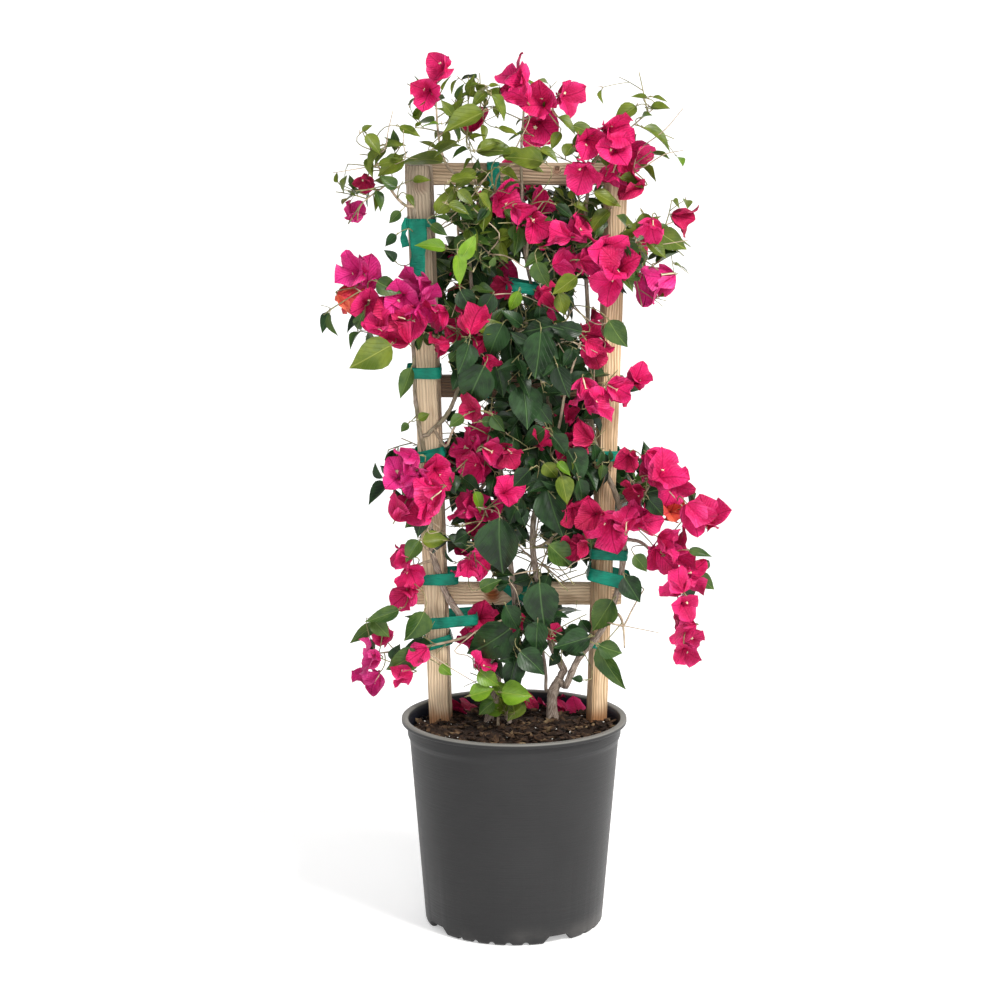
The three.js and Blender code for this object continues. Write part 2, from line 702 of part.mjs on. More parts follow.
function inWood(point, off) {
  for (const post of Object.values(POSTS)) {
    const { centre, width } = postAt(post, point.z);
    const local = point.clone().sub(centre).applyAxisAngle(UP, -radians(post.turn));
    const half = width / 2 + off;
    if (Math.abs(local.x) < half && Math.abs(local.y) < half && point.z < post.top + off) return true;
  }
  for (const bar of Object.values(BARS)) {
    const { centre } = barPlacing(bar);
    const inX = point.x > bar.left - off && point.x < bar.right + off;
    const inY = Math.abs(point.y - centre.y) < BAR.depth / 2 + off + 2;
    if (inX && inY && Math.abs(point.z - bar.z) < BAR.height / 2 + off) return true;
  }
  return false;
}

function inTape(point, off) {
  for (const tie of Object.values(POST_TIES)) {
    const post = POSTS[tie.post];
    const { centre, width } = postAt(post, tie.z);
    const half = turnedReach(width, post.turn) + 3 + off;
    const drop = tie.tail ? tie.tail[1] : 0;
    const slope = Math.abs(Math.sin(radians(tie.slant ?? 0)));
    const rise = tie.width / 2 + 0.9 * slope * (half + (tie.right ?? 0));
    const inX = point.x > centre.x - half - (tie.left ?? 0) && point.x < centre.x + half + (tie.right ?? 0);
    const inY = point.y > centre.y - half - tie.front && point.y < centre.y + half;
    if (inX && inY && point.z > tie.z - rise - drop - off && point.z < tie.z + rise + off) return true;
  }
  for (const tie of Object.values(BAR_TIES)) {
    const bar = BARS[tie.bar];
    const { frontY } = barPlacing(bar);
    const half = BAR.height / 2 + 3 + off + (tie.tail ?? 0) + (tie.bow ? tie.bow - 8 : 0);
    const reachX = tie.width / 2 + off + (tie.bow ?? 0);
    const inY = point.y > frontY - tie.front - 3 - off && point.y < frontY + BAR.depth + 4 + off;
    if (Math.abs(point.x - tie.x) < reachX && inY && Math.abs(point.z - bar.z) < half) return true;
  }
  return false;
}

function inPot(point, off) {
  const radius = Math.hypot(point.x, point.y);
  if (radius < POT.rimRadius + off && point.z < SOIL.top + off) return true;
  return radius > POT.mouthRadius - off - 3 && radius < POT.rimRadius + off && point.z < POT.height + off;
}

// A point is in a mass's own cell when that mass is the nearest, by distance less its size
function inCell(point, mass) {
  const own = point.distanceToSquared(mass.centre) - mass.weight;
  return masses.every((other) => {
    if (other === mass) return true;
    const lead = point.distanceToSquared(other.centre) - other.weight - own;
    return lead > 2 * KEEP_OFF.cell * other.centre.distanceTo(mass.centre);
  });
}

function inReach(point, mass) {
  const from = point.clone().sub(mass.centre).divide(mass.extent);
  return from.lengthSq() < REACH;
}

// True when every point of a twig, leaf or bloom is in the mass's space and off the wood, tape and pot
function isInside(points, mass) {
  return points.every((point) => inReach(point, mass)
    && inCell(point, mass)
    && !inPot(point, KEEP_OFF.pot)
    && !inWood(point, KEEP_OFF.wood)
    && !inTape(point, KEEP_OFF.tape));
}

const nearest = vec(0, 0, 0);
const tooNear = (point, face, off) => face.closestPointToPoint(point, nearest).distanceTo(point) < off;

// True when an item comes too near to one of the points round it, away from its own root
function touchesPoints(item, around) {
  return around.some(({ at, off }) => {
    if (at.distanceTo(item.root) < KEEP_OFF.root) return false;
    return item.faces.some((face) => tooNear(at, face, off))
      || item.points.some((point) => point.distanceTo(at) < off);
  });
}

// True when two leaves or blooms of a mass cross or nearly touch
function touchesItem(item, other) {
  return item.points.some((point) => other.faces.some((face) => tooNear(point, face, KEEP_OFF.own)))
    || other.points.some((point) => item.faces.some((face) => tooNear(point, face, KEEP_OFF.own)));
}

// The direction that faces away from the middle of the plant
function outwardAt(point) {
  return vec(0.35 * (point.x - PLANT_AXIS[0]), 1.3 * (point.y - PLANT_AXIS[1]), 0).normalize();
}

// A leaf: a folded kite from its root to its tip, with its middle thicker than its edges
function leafCorners({ root, axis, normal, length, width }) {
  const side = axis.clone().cross(normal);
  const at = (along, across, lift) => root.clone()
    .addScaledVector(axis, along * length)
    .addScaledVector(side, across * width)
    .addScaledVector(normal, lift * length);
  const { widest, fold } = LEAF;
  return { at, ring: [at(0, 0, 0), at(widest, 0.5, fold), at(1, 0, -0.1), at(widest, -0.5, fold)] };
}

function leafSolid(leaf) {
  const { at, ring } = leafCorners(leaf);
  const half = LEAF.thickness / leaf.length / 2;
  return starSolid(ring, at(LEAF.thickest, 0, half), at(LEAF.thickest, 0, -half));
}

// A closed body between a ring of corners and one point on each side of it
function starSolid(ring, top, bottom) {
  const count = ring.length;
  const corners = [...ring, top, bottom];
  const index = [];
  for (let i = 0; i < count; i += 1) {
    const next = (i + 1) % count;
    index.push(i, next, count, next, i, count + 1);
  }
  const geometry = new THREE.BufferGeometry().setFromPoints(corners);
  geometry.setIndex(index);
  return solid(geometry);
}

// A leaf as an item to place: its points, its two halves as faces, and its solid made on demand
function leafItem(leaf) {
  const { at, ring } = leafCorners(leaf);
  const points = [ring[2]];
  for (const along of [0.16, 0.29, 0.42, 0.6, 0.8]) {
    const half = along < LEAF.widest ? along / LEAF.widest : (1 - along) / (1 - LEAF.widest);
    for (const share of [-1, -0.5, 0, 0.5, 1]) {
      points.push(at(along, 0.5 * share * half, LEAF.fold * half * Math.abs(share)));
    }
  }
  const [root, right, tip, left] = ring;
  const faces = [new THREE.Triangle(root, right, tip), new THREE.Triangle(root, tip, left)];
  return { root, points, faces, make: () => leafSolid(leaf) };
}

// A bloom: three papery bracts, each with two shoulders and a tip, opening round an axis from the
// end of a thin stalk, as one body
function bloomCorners({ root, axis, roll, size }) {
  const open = radians(BLOOM.open);
  const start = Math.abs(axis.z) < 0.9 ? UP : vec(1, 0, 0);
  const first = start.clone().cross(axis).normalize();
  const second = axis.clone().cross(first);
  const ring = [];
  const outs = [0, 1, 2].map((i) => {
    const angle = roll + (2 * Math.PI * i) / 3;
    return first.clone().multiplyScalar(Math.cos(angle)).addScaledVector(second, Math.sin(angle));
  });
  for (const out of outs) {
    const around = axis.clone().cross(out);
    for (const [along, across] of BLOOM.outline) {
      ring.push(root.clone()
        .addScaledVector(axis, along * Math.cos(open) * BLOOM.bract * size)
        .addScaledVector(out, along * Math.sin(open) * BLOOM.bract * size)
        .addScaledVector(around, across * BLOOM.width * size));
    }
  }
  return { ring, outs, heart: root.clone().addScaledVector(axis, BLOOM.heart * size) };
}

function bloomSolid(bloom) {
  const { ring, outs, heart } = bloomCorners(bloom);
  const collar = outs.map((out) => bloom.root.clone().addScaledVector(out, BLOOM.radii[1]));
  const foot = outs.map((out) => bloom.base.clone().addScaledVector(out, BLOOM.radii[0]));
  const top = ring.length;
  const neck = top + 1;
  const base = neck + 3;
  const index = [];
  for (let k = 0; k < 3; k += 1) {
    const after = (k + 1) % 3;
    const [a, b, c, d] = [3 * k, 3 * k + 1, 3 * k + 2, 3 * after];
    index.push(a, b, top, b, c, top, c, d, top);
    index.push(b, a, neck + k, c, b, neck + k, d, c, neck + k, d, neck + k, neck + after);
    index.push(neck + after, neck + k, base + k, neck + after, base + k, base + after);
  }
  index.push(base, base + 2, base + 1);
  const geometry = new THREE.BufferGeometry().setFromPoints([...ring, heart, ...collar, ...foot]);
  geometry.setIndex(index);
  return solid(geometry);
}

function bloomItem(bloom) {
  const { ring, heart } = bloomCorners(bloom);
  const faces = ring.map((corner, i) => new THREE.Triangle(heart, corner, ring[(i + 1) % ring.length]));
  const between = ring.map((corner, i) => corner.clone().lerp(ring[(i + 1) % ring.length], 0.5));
  const inner = ring.map((corner) => corner.clone().lerp(heart, 0.5));
  const stalk = [0.4, 0.6, 0.8, 1].map((share) => bloom.base.clone().lerp(bloom.root, share));
  const points = [...ring, ...between, ...inner, ...stalk];
  return { root: bloom.base, points, faces, make: () => bloomSolid(bloom) };
}

// A twig is one straight three-sided piece
function twigItem(base, tip) {
  const curve = new THREE.LineCurve3(base, tip);
  const radiusAt = (t) => span(...TWIG.radii, t);
  const points = pointsAlong(curve, radiusAt, 0, 5).map(({ at }) => at).slice(1);
  return { root: base, points, faces: [], curve, make: () => solid(tube(curve, radiusAt, 3, 1)) };
}

// A unit vector tilted from an axis by an angle, towards a roll round it
function tilted(axis, tilt, roll) {
  const start = Math.abs(axis.z) < 0.9 ? UP : vec(1, 0, 0);
  const first = start.clone().cross(axis).normalize();
  const second = axis.clone().cross(first);
  return axis.clone().multiplyScalar(Math.cos(tilt))
    .addScaledVector(first, Math.sin(tilt) * Math.cos(roll))
    .addScaledVector(second, Math.sin(tilt) * Math.sin(roll));
}

// The leaf at one place on a twig, leaning to one side of it, hanging a little and facing outwards
function leafAt(root, along, flank, scale, random) {
  const outward = outwardAt(root);
  const side = along.clone().cross(outward).normalize().multiplyScalar(flank);
  const axis = side.multiplyScalar(0.5 + 0.5 * random())
    .addScaledVector(outward, 0.7 * random() - 0.1)
    .addScaledVector(UP, 0.25 - 0.9 * random());
  axis.addScaledVector(along, 0.5 * random() - axis.dot(along)).normalize();
  const normal = outward.clone().multiplyScalar(0.9)
    .addScaledVector(UP, 0.5)
    .addScaledVector(vec(random() - 0.5, random() - 0.5, random() - 0.5), 0.9);
  normal.addScaledVector(axis, -normal.dot(axis)).normalize();
  return { root, axis, normal, length: LEAF.length * scale, width: LEAF.width * scale };
}

// The bloom at a fork's end: its stalk leans away from the others and its face outwards
function bloomAt(base, end, roll, lone, random) {
  const facing = outwardAt(base).multiplyScalar(0.9).addScaledVector(end, 0.4).normalize();
  const tilt = lone ? 0.3 * random() + 0.1 : 0.6 + 0.8 * random();
  const way = tilted(facing, tilt, roll + 0.8 * random());
  const root = base.clone().addScaledVector(way, span(...BLOOM.stalk, random()));
  const axis = way.clone().multiplyScalar(0.45).addScaledVector(facing, 0.8).normalize();
  return { base, root, axis, roll: 2 * Math.PI * random(), size: 0.82 + 0.3 * random() };
}

// The room in a mass: an item is tried a few times, and left out where it finds no place that is free
// of the limbs, the mass's own wood and the items before it
class Room {
  constructor(mass) {
    this.mass = mass;
    this.items = [];
    this.around = obstaclesOf(mass);
    this.wood = mass.forks.flatMap(({ curve, radii }) => pointsAlong(curve, () => radii[0], KEEP_OFF.own, 3));
  }

  isClear(item) {
    return isInside(item.points, this.mass)
      && !touchesPoints(item, this.around)
      && !touchesPoints(item, this.wood)
      && !this.items.some((other) => touchesItem(item, other));
  }

  settle(tries, propose) {
    for (let attempt = 0; attempt < tries; attempt += 1) {
      const item = propose(attempt);
      if (this.isClear(item)) {
        this.items.push(item);
        return item;
      }
    }
    return null;
  }

  // A leaf at one place of a fork or twig, on the other side at every third try
  leaf(curve, t, flank, random) {
    this.settle(LEAF.tries, (attempt) => {
      const scale = span(...LEAF.sizes, attempt / LEAF.tries) * (this.mass.young ? 0.8 : 1);
      const side = attempt % 3 === 2 ? -flank : flank;
      return leafItem(leafAt(curve.getPoint(t), curve.getTangent(t), side, scale, random));
    });
  }
}

// A loose head of blooms round a flowering tip
function growBlooms(room, { curve }, count, seed) {
  for (let i = 0; i < count; i += 1) {
    const random = seeded(seed + 50 + i);
    room.settle(BLOOM.tries, (attempt) => {
      const base = curve.getPoint(0.98 - 0.07 * ((i + attempt) % 5));
      const roll = GOLDEN_ANGLE * (i + 2.6 * attempt);
      return bloomItem(bloomAt(base, curve.getTangent(1), roll, count === 1, random));
    });
  }
}

// Side twigs by golden-angle steps round a fork, each with its leaves
function growTwigs(room, { curve }, count, seed) {
  for (let i = 0; i < count; i += 1) {
    const random = seeded(seed + i);
    const share = span(0.2, 0.97, (i + 0.7 * random()) / count);
    const base = curve.getPoint(share);
    const twig = room.settle(TWIG.tries, (attempt) => {
      const roll = GOLDEN_ANGLE * (i + 1.6 * attempt) + random();
      const way = tilted(curve.getTangent(share), radians(TWIG.open), roll);
      way.addScaledVector(outwardAt(base), 0.35 * random()).normalize();
      const length = TWIG.length * (0.55 + 0.6 * random());
      return twigItem(base, base.clone().addScaledVector(way, length).addScaledVector(UP, -0.1 * length));
    });
    if (twig) {
      room.wood.push(...pointsAlong(twig.curve, () => TWIG.radii[0], KEEP_OFF.own, 3));
      for (const [t, flank] of LEAF.onTwig) room.leaf(twig.curve, t, flank, random);
    }
  }
}

// Leaves from side to side along a fork
function growLeaves(room, { curve }, seed) {
  const random = seeded(seed + 90);
  const places = 2 + Math.round(curve.getLength() / LEAF.spacing);
  for (let k = 0; k < places; k += 1) {
    room.leaf(curve, span(0.15, 0.99, (k + 0.5) / places), k % 2 ? 1 : -1, random);
  }
}

// Everything a mass carries, the blooms first because they need the most room
function grow(mass) {
  const room = new Room(mass);
  const seedOf = (f) => mass.seed * 1000 + f * 100;
  mass.forks.forEach((fork, f) => growBlooms(room, fork, mass.tips[f][3], seedOf(f)));
  mass.forks.forEach((fork, f) => {
    growTwigs(room, fork, mass.twigs, seedOf(f));
    growLeaves(room, fork, seedOf(f));
  });
  return room.items;
}

function massMesh(mass) {
  const forks = mass.forks.map(({ curve, way, radii }) => (
    solid(tube(curve, (t) => span(...radii, t), 3, SHOOT.steps, way))));
  const body = largest(wasm.Manifold.union([...forks, ...grow(mass).map((item) => item.make())]));
  return meshOf(mass.name, geometryOf(body), mass.young ? COLOURS.young : COLOURS.leaf);
}

// The whole plant
const plant = new THREE.Group();
plant.add(meshOf("pot", geometryOf(pot()), COLOURS.pot));
plant.add(meshOf("soil", geometryOf(soil()), COLOURS.soil));

const trellis = new THREE.Group();
for (const [name, post] of Object.entries(POSTS)) {
  trellis.add(meshOf(name, postGeometry(post), COLOURS.wood));
}
for (const [name, bar] of Object.entries(BARS)) trellis.add(barMesh(name, bar));
for (const [name, tie] of Object.entries(POST_TIES)) trellis.add(postTie(name, tie));
for (const [name, tie] of Object.entries(BAR_TIES)) trellis.add(barTie(name, tie));
plant.add(trellis);

const wood = new THREE.Group();
for (const [name, limb] of Object.entries(limbs)) wood.add(limbMesh(name, limb));
plant.add(wood);

const foliage = new THREE.Group();
for (const mass of masses) foliage.add(massMesh(mass));
plant.add(foliage);

export default plant;
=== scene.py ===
# %% [markdown]
# # A bougainvillea on its trellis, in a nursery pot
#
# The plant is a thorny climber with papery magenta bracts, tied with green
# tape to a small ladder of sawn softwood that stands in the potting mix.
# The part's solids give every place and size, in metres, and this lesson
# dresses them. Working sizes are in millimetres.

import math

import bpy
import numpy as np
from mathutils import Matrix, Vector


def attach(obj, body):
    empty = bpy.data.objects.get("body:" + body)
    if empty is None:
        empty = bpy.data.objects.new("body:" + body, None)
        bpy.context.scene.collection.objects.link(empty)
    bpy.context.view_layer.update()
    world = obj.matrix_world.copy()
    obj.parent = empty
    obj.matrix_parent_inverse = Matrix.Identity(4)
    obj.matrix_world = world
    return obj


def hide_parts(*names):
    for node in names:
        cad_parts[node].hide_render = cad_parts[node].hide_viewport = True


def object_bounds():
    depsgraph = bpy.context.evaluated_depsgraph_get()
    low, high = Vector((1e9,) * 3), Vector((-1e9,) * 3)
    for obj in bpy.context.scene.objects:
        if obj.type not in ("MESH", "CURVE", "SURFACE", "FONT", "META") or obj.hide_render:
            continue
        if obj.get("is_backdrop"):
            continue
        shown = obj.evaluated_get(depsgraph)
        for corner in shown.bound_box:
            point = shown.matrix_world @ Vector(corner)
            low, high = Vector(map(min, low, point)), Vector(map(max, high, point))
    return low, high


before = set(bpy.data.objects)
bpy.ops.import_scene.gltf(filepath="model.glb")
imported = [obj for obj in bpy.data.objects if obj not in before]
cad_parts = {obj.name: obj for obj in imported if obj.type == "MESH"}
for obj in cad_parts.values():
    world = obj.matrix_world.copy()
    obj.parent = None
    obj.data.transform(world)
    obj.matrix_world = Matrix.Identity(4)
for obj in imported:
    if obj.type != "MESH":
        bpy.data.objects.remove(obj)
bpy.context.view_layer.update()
MM = 0.001

# %% [markdown]
# ## The camera
#
# The photo looks a little down on the plant from about three metres away,
# with a long lens, so the pot's mouth is a thin ellipse. The camera was
# fitted to the pot's rim and foot. The eye's place stays in millimetres, to
# set the leaves later where the photo shows them.

# %% Camera
EYE = np.array([-17.64, -3200.0, 1089.35])
CAMERA_TILT = 80.17
CAMERA_LENS = 95.13
camera = bpy.data.objects.new("camera", bpy.data.cameras.new("camera"))
camera.location = EYE * MM
camera.rotation_euler = (math.radians(CAMERA_TILT), 0, 0)
camera.data.lens = CAMERA_LENS
bpy.context.collection.objects.link(camera)
bpy.context.scene.camera = camera
bpy.context.scene.view_settings.view_transform = "Standard"
print("camera", tuple(round(v, 3) for v in camera.location), "lens", CAMERA_LENS)

# %% [markdown]
# ## Pieces from points and faces
#
# Blender's own shapes and modifiers could make some pieces. Here each is an
# array of points with a list of faces, because a grid bent by a formula has
# the real outline at once.

# %% Mesh helpers
def unit(vector):
    """The same way with length 1."""
    vector = np.asarray(vector, float)
    return vector / np.linalg.norm(vector, axis=-1, keepdims=True)


def bent(start, bend, end, t):
    """The curve from start to end that a third point pulls towards itself."""
    return (1 - t) ** 2 * start + 2 * t * (1 - t) * bend + t * t * end


def put_mesh(name, points, faces, uv=None, smooth=True):
    """One mesh object at the origin, from points in mm, faces, and a uv pair for each point."""
    mesh = bpy.data.meshes.new(name)
    mesh.from_pydata((np.asarray(points, float) * MM).tolist(), [], [list(map(int, f)) for f in faces])
    corners = np.zeros(len(mesh.loops), np.int32)
    mesh.loops.foreach_get("vertex_index", corners)
    if uv is not None:
        layer = mesh.uv_layers.new(name="surface")
        layer.data.foreach_set("uv", np.asarray(uv, np.float32)[corners].ravel())
    mesh.polygons.foreach_set("use_smooth", [smooth] * len(mesh.polygons))
    mesh.update()
    thing = bpy.data.objects.new(name, mesh)
    bpy.context.collection.objects.link(thing)
    return thing


def dress(thing, material, slot, *nodes):
    """Gives a piece its material and its place in the part, and lets it stand for the named solids."""
    thing.data.materials.append(material)
    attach(thing, "root")
    if nodes:
        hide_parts(*nodes)
    print(thing.name, len(thing.data.polygons), "faces")
    return thing


def grid_faces(rows, columns, wrap=True):
    """Four-cornered faces between rows of points; wrap joins the last column to the first."""
    row, column = np.meshgrid(np.arange(rows - 1), np.arange(columns if wrap else columns - 1), indexing="ij")
    here = row * columns + column
    beside = row * columns + (column + 1) % columns
    return np.stack([here, beside, beside + columns, here + columns], -1).reshape(-1, 4)


def closed_tube(grid):
    """A grid of rings with both end rings filled by a fan from their middle."""
    rows, columns, _ = grid.shape
    points = np.concatenate([grid.reshape(-1, 3), grid[0].mean(0)[None], grid[-1].mean(0)[None]])
    ring = np.arange(columns)
    after = (ring + 1) % columns
    last = (rows - 1) * columns
    first_fan = np.stack([after, ring, np.full(columns, rows * columns)], -1)
    last_fan = np.stack([last + ring, last + after, np.full(columns, rows * columns + 1)], -1)
    return points, [*grid_faces(rows, columns), *first_fan, *last_fan]


def repeat_faces(faces, count, points_each):
    """The faces of one small body, numbered on for a count of equal ones."""
    return [[v + k * points_each for v in face] for k in range(count) for face in faces]


def ripple(points, size, seed, waves=9):
    """A smooth random height of about -1 to 1: a sum of sine waves of random way, length and start."""
    random = np.random.default_rng(seed)
    ways = unit(random.normal(size=(waves, 3)))
    lengths = size * 2 ** random.uniform(-1, 1, waves)
    starts = random.uniform(0, 2 * np.pi, waves)
    turns = np.asarray(points) @ (ways / lengths[:, None]).T * 2 * np.pi + starts
    return np.sin(turns).sum(-1) / np.sqrt(waves * 1.5)


# %% [markdown]
# ## Writing a material as sums
#
# A finish could be joined up by hand in the node editor. Here it is a few
# sums of noise and place: each socket is wrapped in a small class, so a sum
# in Python adds the Math nodes that work it out.

# %% Sockets and materials
class Term:
    """A number or colour on its way through the nodes of a material."""

    def __init__(self, finish, socket):
        self.finish = finish
        self.socket = socket

    def sum(self, operation, one, other):
        return self.finish.node("ShaderNodeMath", {"operation": operation}, {0: one, 1: other})

    def __add__(self, other):
        return self.sum("ADD", self, other)

    __radd__ = __add__

    def __sub__(self, other):
        return self.sum("SUBTRACT", self, other)

    def __rsub__(self, other):
        return self.sum("SUBTRACT", other, self)

    def __mul__(self, other):
        return self.sum("MULTIPLY", self, other)

    __rmul__ = __mul__


SOCKET_NAMES = {"roughness": "Roughness", "specular": "Specular IOR Level"}


class Finish:
    """A material with one Principled surface, built from terms."""

    def __init__(self, name, **constants):
        self.material = bpy.data.materials.new(name)
        self.material.use_nodes = True
        self.tree = self.material.node_tree
        self.surface = self.tree.nodes["Principled BSDF"]
        for key, number in constants.items():
            self.surface.inputs[SOCKET_NAMES[key]].default_value = number

    def node(self, kind, settings=None, inputs=None, output=0):
        """One node: its type, its settings first, then the values or links of its sockets."""
        made = self.tree.nodes.new(kind)
        for key, setting in (settings or {}).items():
            if key == "stops":
                ramp = made.color_ramp.elements
                while len(ramp) < len(setting):
                    ramp.new(0.5)
                for stop, (place, colour) in zip(ramp, setting):
                    stop.position = place
                    stop.color = (*colour, 1)
            else:
                setattr(made, key, setting)
        for key, value in (inputs or {}).items():
            if isinstance(value, Term):
                self.tree.links.new(value.socket, made.inputs[key])
            else:
                made.inputs[key].default_value = value
        return Term(self, made.outputs[output])

    def place(self):
        return self.node("ShaderNodeTexCoord", output="Object")

    def split(self, vector):
        parts = self.node("ShaderNodeSeparateXYZ", inputs={0: vector}).socket.node
        return [Term(self, parts.outputs[axis]) for axis in "XYZ"]

    def uv(self):
        """The two numbers of the piece's own map."""
        return self.split(self.node("ShaderNodeUVMap", {"uv_map": "surface"}))[:2]

    def join(self, x, y, z=0.0):
        return self.node("ShaderNodeCombineXYZ", inputs={0: x, 1: y, 2: z})

    def noise(self, vector, scale, detail=3.0, rough=0.5):
        inputs = {"Vector": vector, "Scale": scale, "Detail": detail, "Roughness": rough}
        return self.node("ShaderNodeTexNoise", inputs=inputs, output="Fac")

    def stretched(self, vector, x, y, z):
        return self.node("ShaderNodeVectorMath", {"operation": "MULTIPLY"}, {0: vector, 1: (x, y, z)})

    def distance(self, vector, point):
        settings = {"operation": "DISTANCE"}
        return self.node("ShaderNodeVectorMath", settings, {0: vector, 1: point}, output="Value")

    def sine(self, number):
        return self.node("ShaderNodeMath", {"operation": "SINE"}, {0: number})

    def size_of(self, number):
        return self.node("ShaderNodeMath", {"operation": "ABSOLUTE"}, {0: number})

    def step(self, number, low, high):
        """0 below the low number and 1 above the high one, with a soft slope between."""
        settings = {"interpolation_type": "SMOOTHSTEP", "clamp": True}
        return self.node("ShaderNodeMapRange", settings, {0: number, 1: low, 2: high, 3: 0.0, 4: 1.0})

    def blend(self, share, one, other):
        """From one colour to the other by a share of 0 to 1."""
        ends = [end if isinstance(end, Term) else (*end, 1) for end in (one, other)]
        settings = {"data_type": "RGBA", "clamp_factor": True}
        return self.node("ShaderNodeMix", settings, {0: share, 6: ends[0], 7: ends[1]}, output=2)

    def set(self, key, term):
        self.tree.links.new(term.socket, self.surface.inputs[key])

    def relief(self, height, distance, strength=1.0):
        inputs = {"Height": height, "Distance": distance, "Strength": strength}
        self.set("Normal", self.node("ShaderNodeBump", inputs=inputs))
        return self.material


# %% [markdown]
# ## Paper and lamps
#
# The photo is a cut-out on white with a soft shadow at the pot's left. A
# sheet of white paper that bends up behind gives that. A large lamp from
# the right makes the shadow, and a weak one in front opens the dark leaves.

# %% Floor and lights
def paper_sweep():
    """A level floor that a quarter circle joins to a wall behind."""
    bend_start, bend, half_width, top = 3000, 2500, 7000, 5000
    turn = np.linspace(0, np.pi / 2, 24)
    path = np.concatenate([
        [[-5000, 0], [-1000, 0], [1500, 0]],
        np.stack([bend_start + bend * np.sin(turn), bend * (1 - np.cos(turn))], -1),
        [[bend_start + bend, top]],
    ])
    across = np.linspace(-half_width, half_width, 9)
    grid = np.zeros((len(path), len(across), 3))
    grid[..., 0] = across
    grid[..., 1:] = path[:, None]
    return grid


PAPER_GLOW = 0.38
SKY_STRENGTH = 0.54
LIT_POINT = (0, 0, 0.5)
# Name, place in metres, size, watts and colour
LAMPS = [
    ("key", (1.9, -2.1, 2.9), 1.1, 146, (1, 0.98, 0.95)),
    ("fill", (0.1, -3.2, 1.3), 1.2, 26, (1, 1, 1)),
]
sweep_grid = paper_sweep()
floor = put_mesh("floor", sweep_grid.reshape(-1, 3), grid_faces(*sweep_grid.shape[:2], wrap=False))
paper = Finish("paper", roughness=0.9)
paper_tone = paper.noise(paper.place(), 3.0)
paper.set("Base Color", paper.blend(paper_tone, (0.93, 0.93, 0.93), (0.95, 0.95, 0.95)))
paper.surface.inputs["Emission Color"].default_value = (1, 1, 1, 1)
paper.surface.inputs["Emission Strength"].default_value = PAPER_GLOW
floor.data.materials.append(paper.material)
floor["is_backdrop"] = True


def soft_light(name, place, size, watts, colour):
    """A round lamp that faces the middle of the plant."""
    lamp = bpy.data.lights.new(name, "AREA")
    lamp.shape, lamp.size, lamp.energy, lamp.color = "DISK", size, watts, colour
    thing = bpy.data.objects.new(name, lamp)
    thing.location = place
    way = unit(np.array(LIT_POINT, float) - place)
    thing.rotation_euler = (math.acos(-way[2]), 0, math.atan2(way[0], -way[1]) + math.pi)
    bpy.context.collection.objects.link(thing)


for lamp_row in LAMPS:
    soft_light(*lamp_row)
world = bpy.data.worlds.new("studio")
world.use_nodes = True
world.node_tree.nodes["Background"].inputs[0].default_value = (1, 1, 1, 1)
world.node_tree.nodes["Background"].inputs[1].default_value = SKY_STRENGTH
bpy.context.scene.world = world
print("floor", len(floor.data.polygons), "faces, lamps", len(LAMPS))

# %% [markdown]
# ## The pot
#
# The pot is blow-moulded black plastic: a plain tapered wall, a wider band
# under a rolled rim, and a foot ring with drain notches and scallops. A
# profile spun round the axis gives all of it, and the foot ring's lower
# points are lifted where a notch or scallop is.

# %% Pot sizes and profile
POT = {"height": 262, "rim": 140, "rim_depth": 6.5, "mouth": 132.4, "band": 132.7, "band_foot": 241,
       "step": 234, "wall": 2.4, "foot": 6, "ring": 3.6, "floor": 9, "pad": 68, "foot_zone": 12}
NOTCH = {"first": -60, "foot": 42, "top": 27, "height": 8.6}
SCALLOP = {"pitch": 11.25, "radius": 4.2, "height": 3.0}
HALF_WAY = 120
CORNER_RADIUS = 1.7
SOIL_TOP = 247


def wall_radius(z):
    return 110.8 + 0.0813 * z


def rounded(profile, radius, steps=4):
    """The profile with each corner as a small arc: a curve across it that is pulled towards it."""
    path = [np.array(p, float) for p in profile]
    out = [path[0]]
    for before, corner, after in zip(path, path[1:], path[2:]):
        into, away = before - corner, after - corner
        reach = min(radius, 0.45 * np.linalg.norm(into), 0.45 * np.linalg.norm(away))
        ends = corner + unit(into) * reach, corner + unit(away) * reach
        out.extend(bent(ends[0], corner, ends[1], np.linspace(0, 1, steps)[:, None]))
    out.append(path[-1])
    return np.array(out)


def pot_profile():
    """Radius and height, from the middle of the underside up the wall, over the rim and down."""
    p = POT
    foot = wall_radius(p["foot"]) - p["foot"]
    bottom = p["height"] - p["rim_depth"]
    arc = [[foot + p["foot"] * math.sin(a), p["foot"] * (1 - math.cos(a))]
           for a in np.linspace(0, math.pi / 2, 5)]
    return rounded([
        [0.01, 0], [p["pad"], 0], [p["pad"] + p["floor"], p["floor"]], [foot - p["ring"], p["floor"]],
        [foot - p["ring"], 0], *arc, [wall_radius(HALF_WAY), HALF_WAY],
        [wall_radius(p["step"]), p["step"]], [p["band"], p["band_foot"]], [p["band"], bottom],
        [p["rim"], bottom + 0.4], [p["rim"], p["height"]],
        [p["mouth"], p["height"]], [p["mouth"] - p["wall"], bottom - 1],
        [wall_radius(p["step"]) - p["wall"], p["step"]], [wall_radius(HALF_WAY) - p["wall"], HALF_WAY],
        [wall_radius(12) - p["wall"], p["floor"] + p["wall"]],
        [p["pad"] + p["floor"] - 1, p["floor"] + p["wall"]], [p["pad"] - 1, p["wall"]], [0.01, p["wall"]],
    ], CORNER_RADIUS)


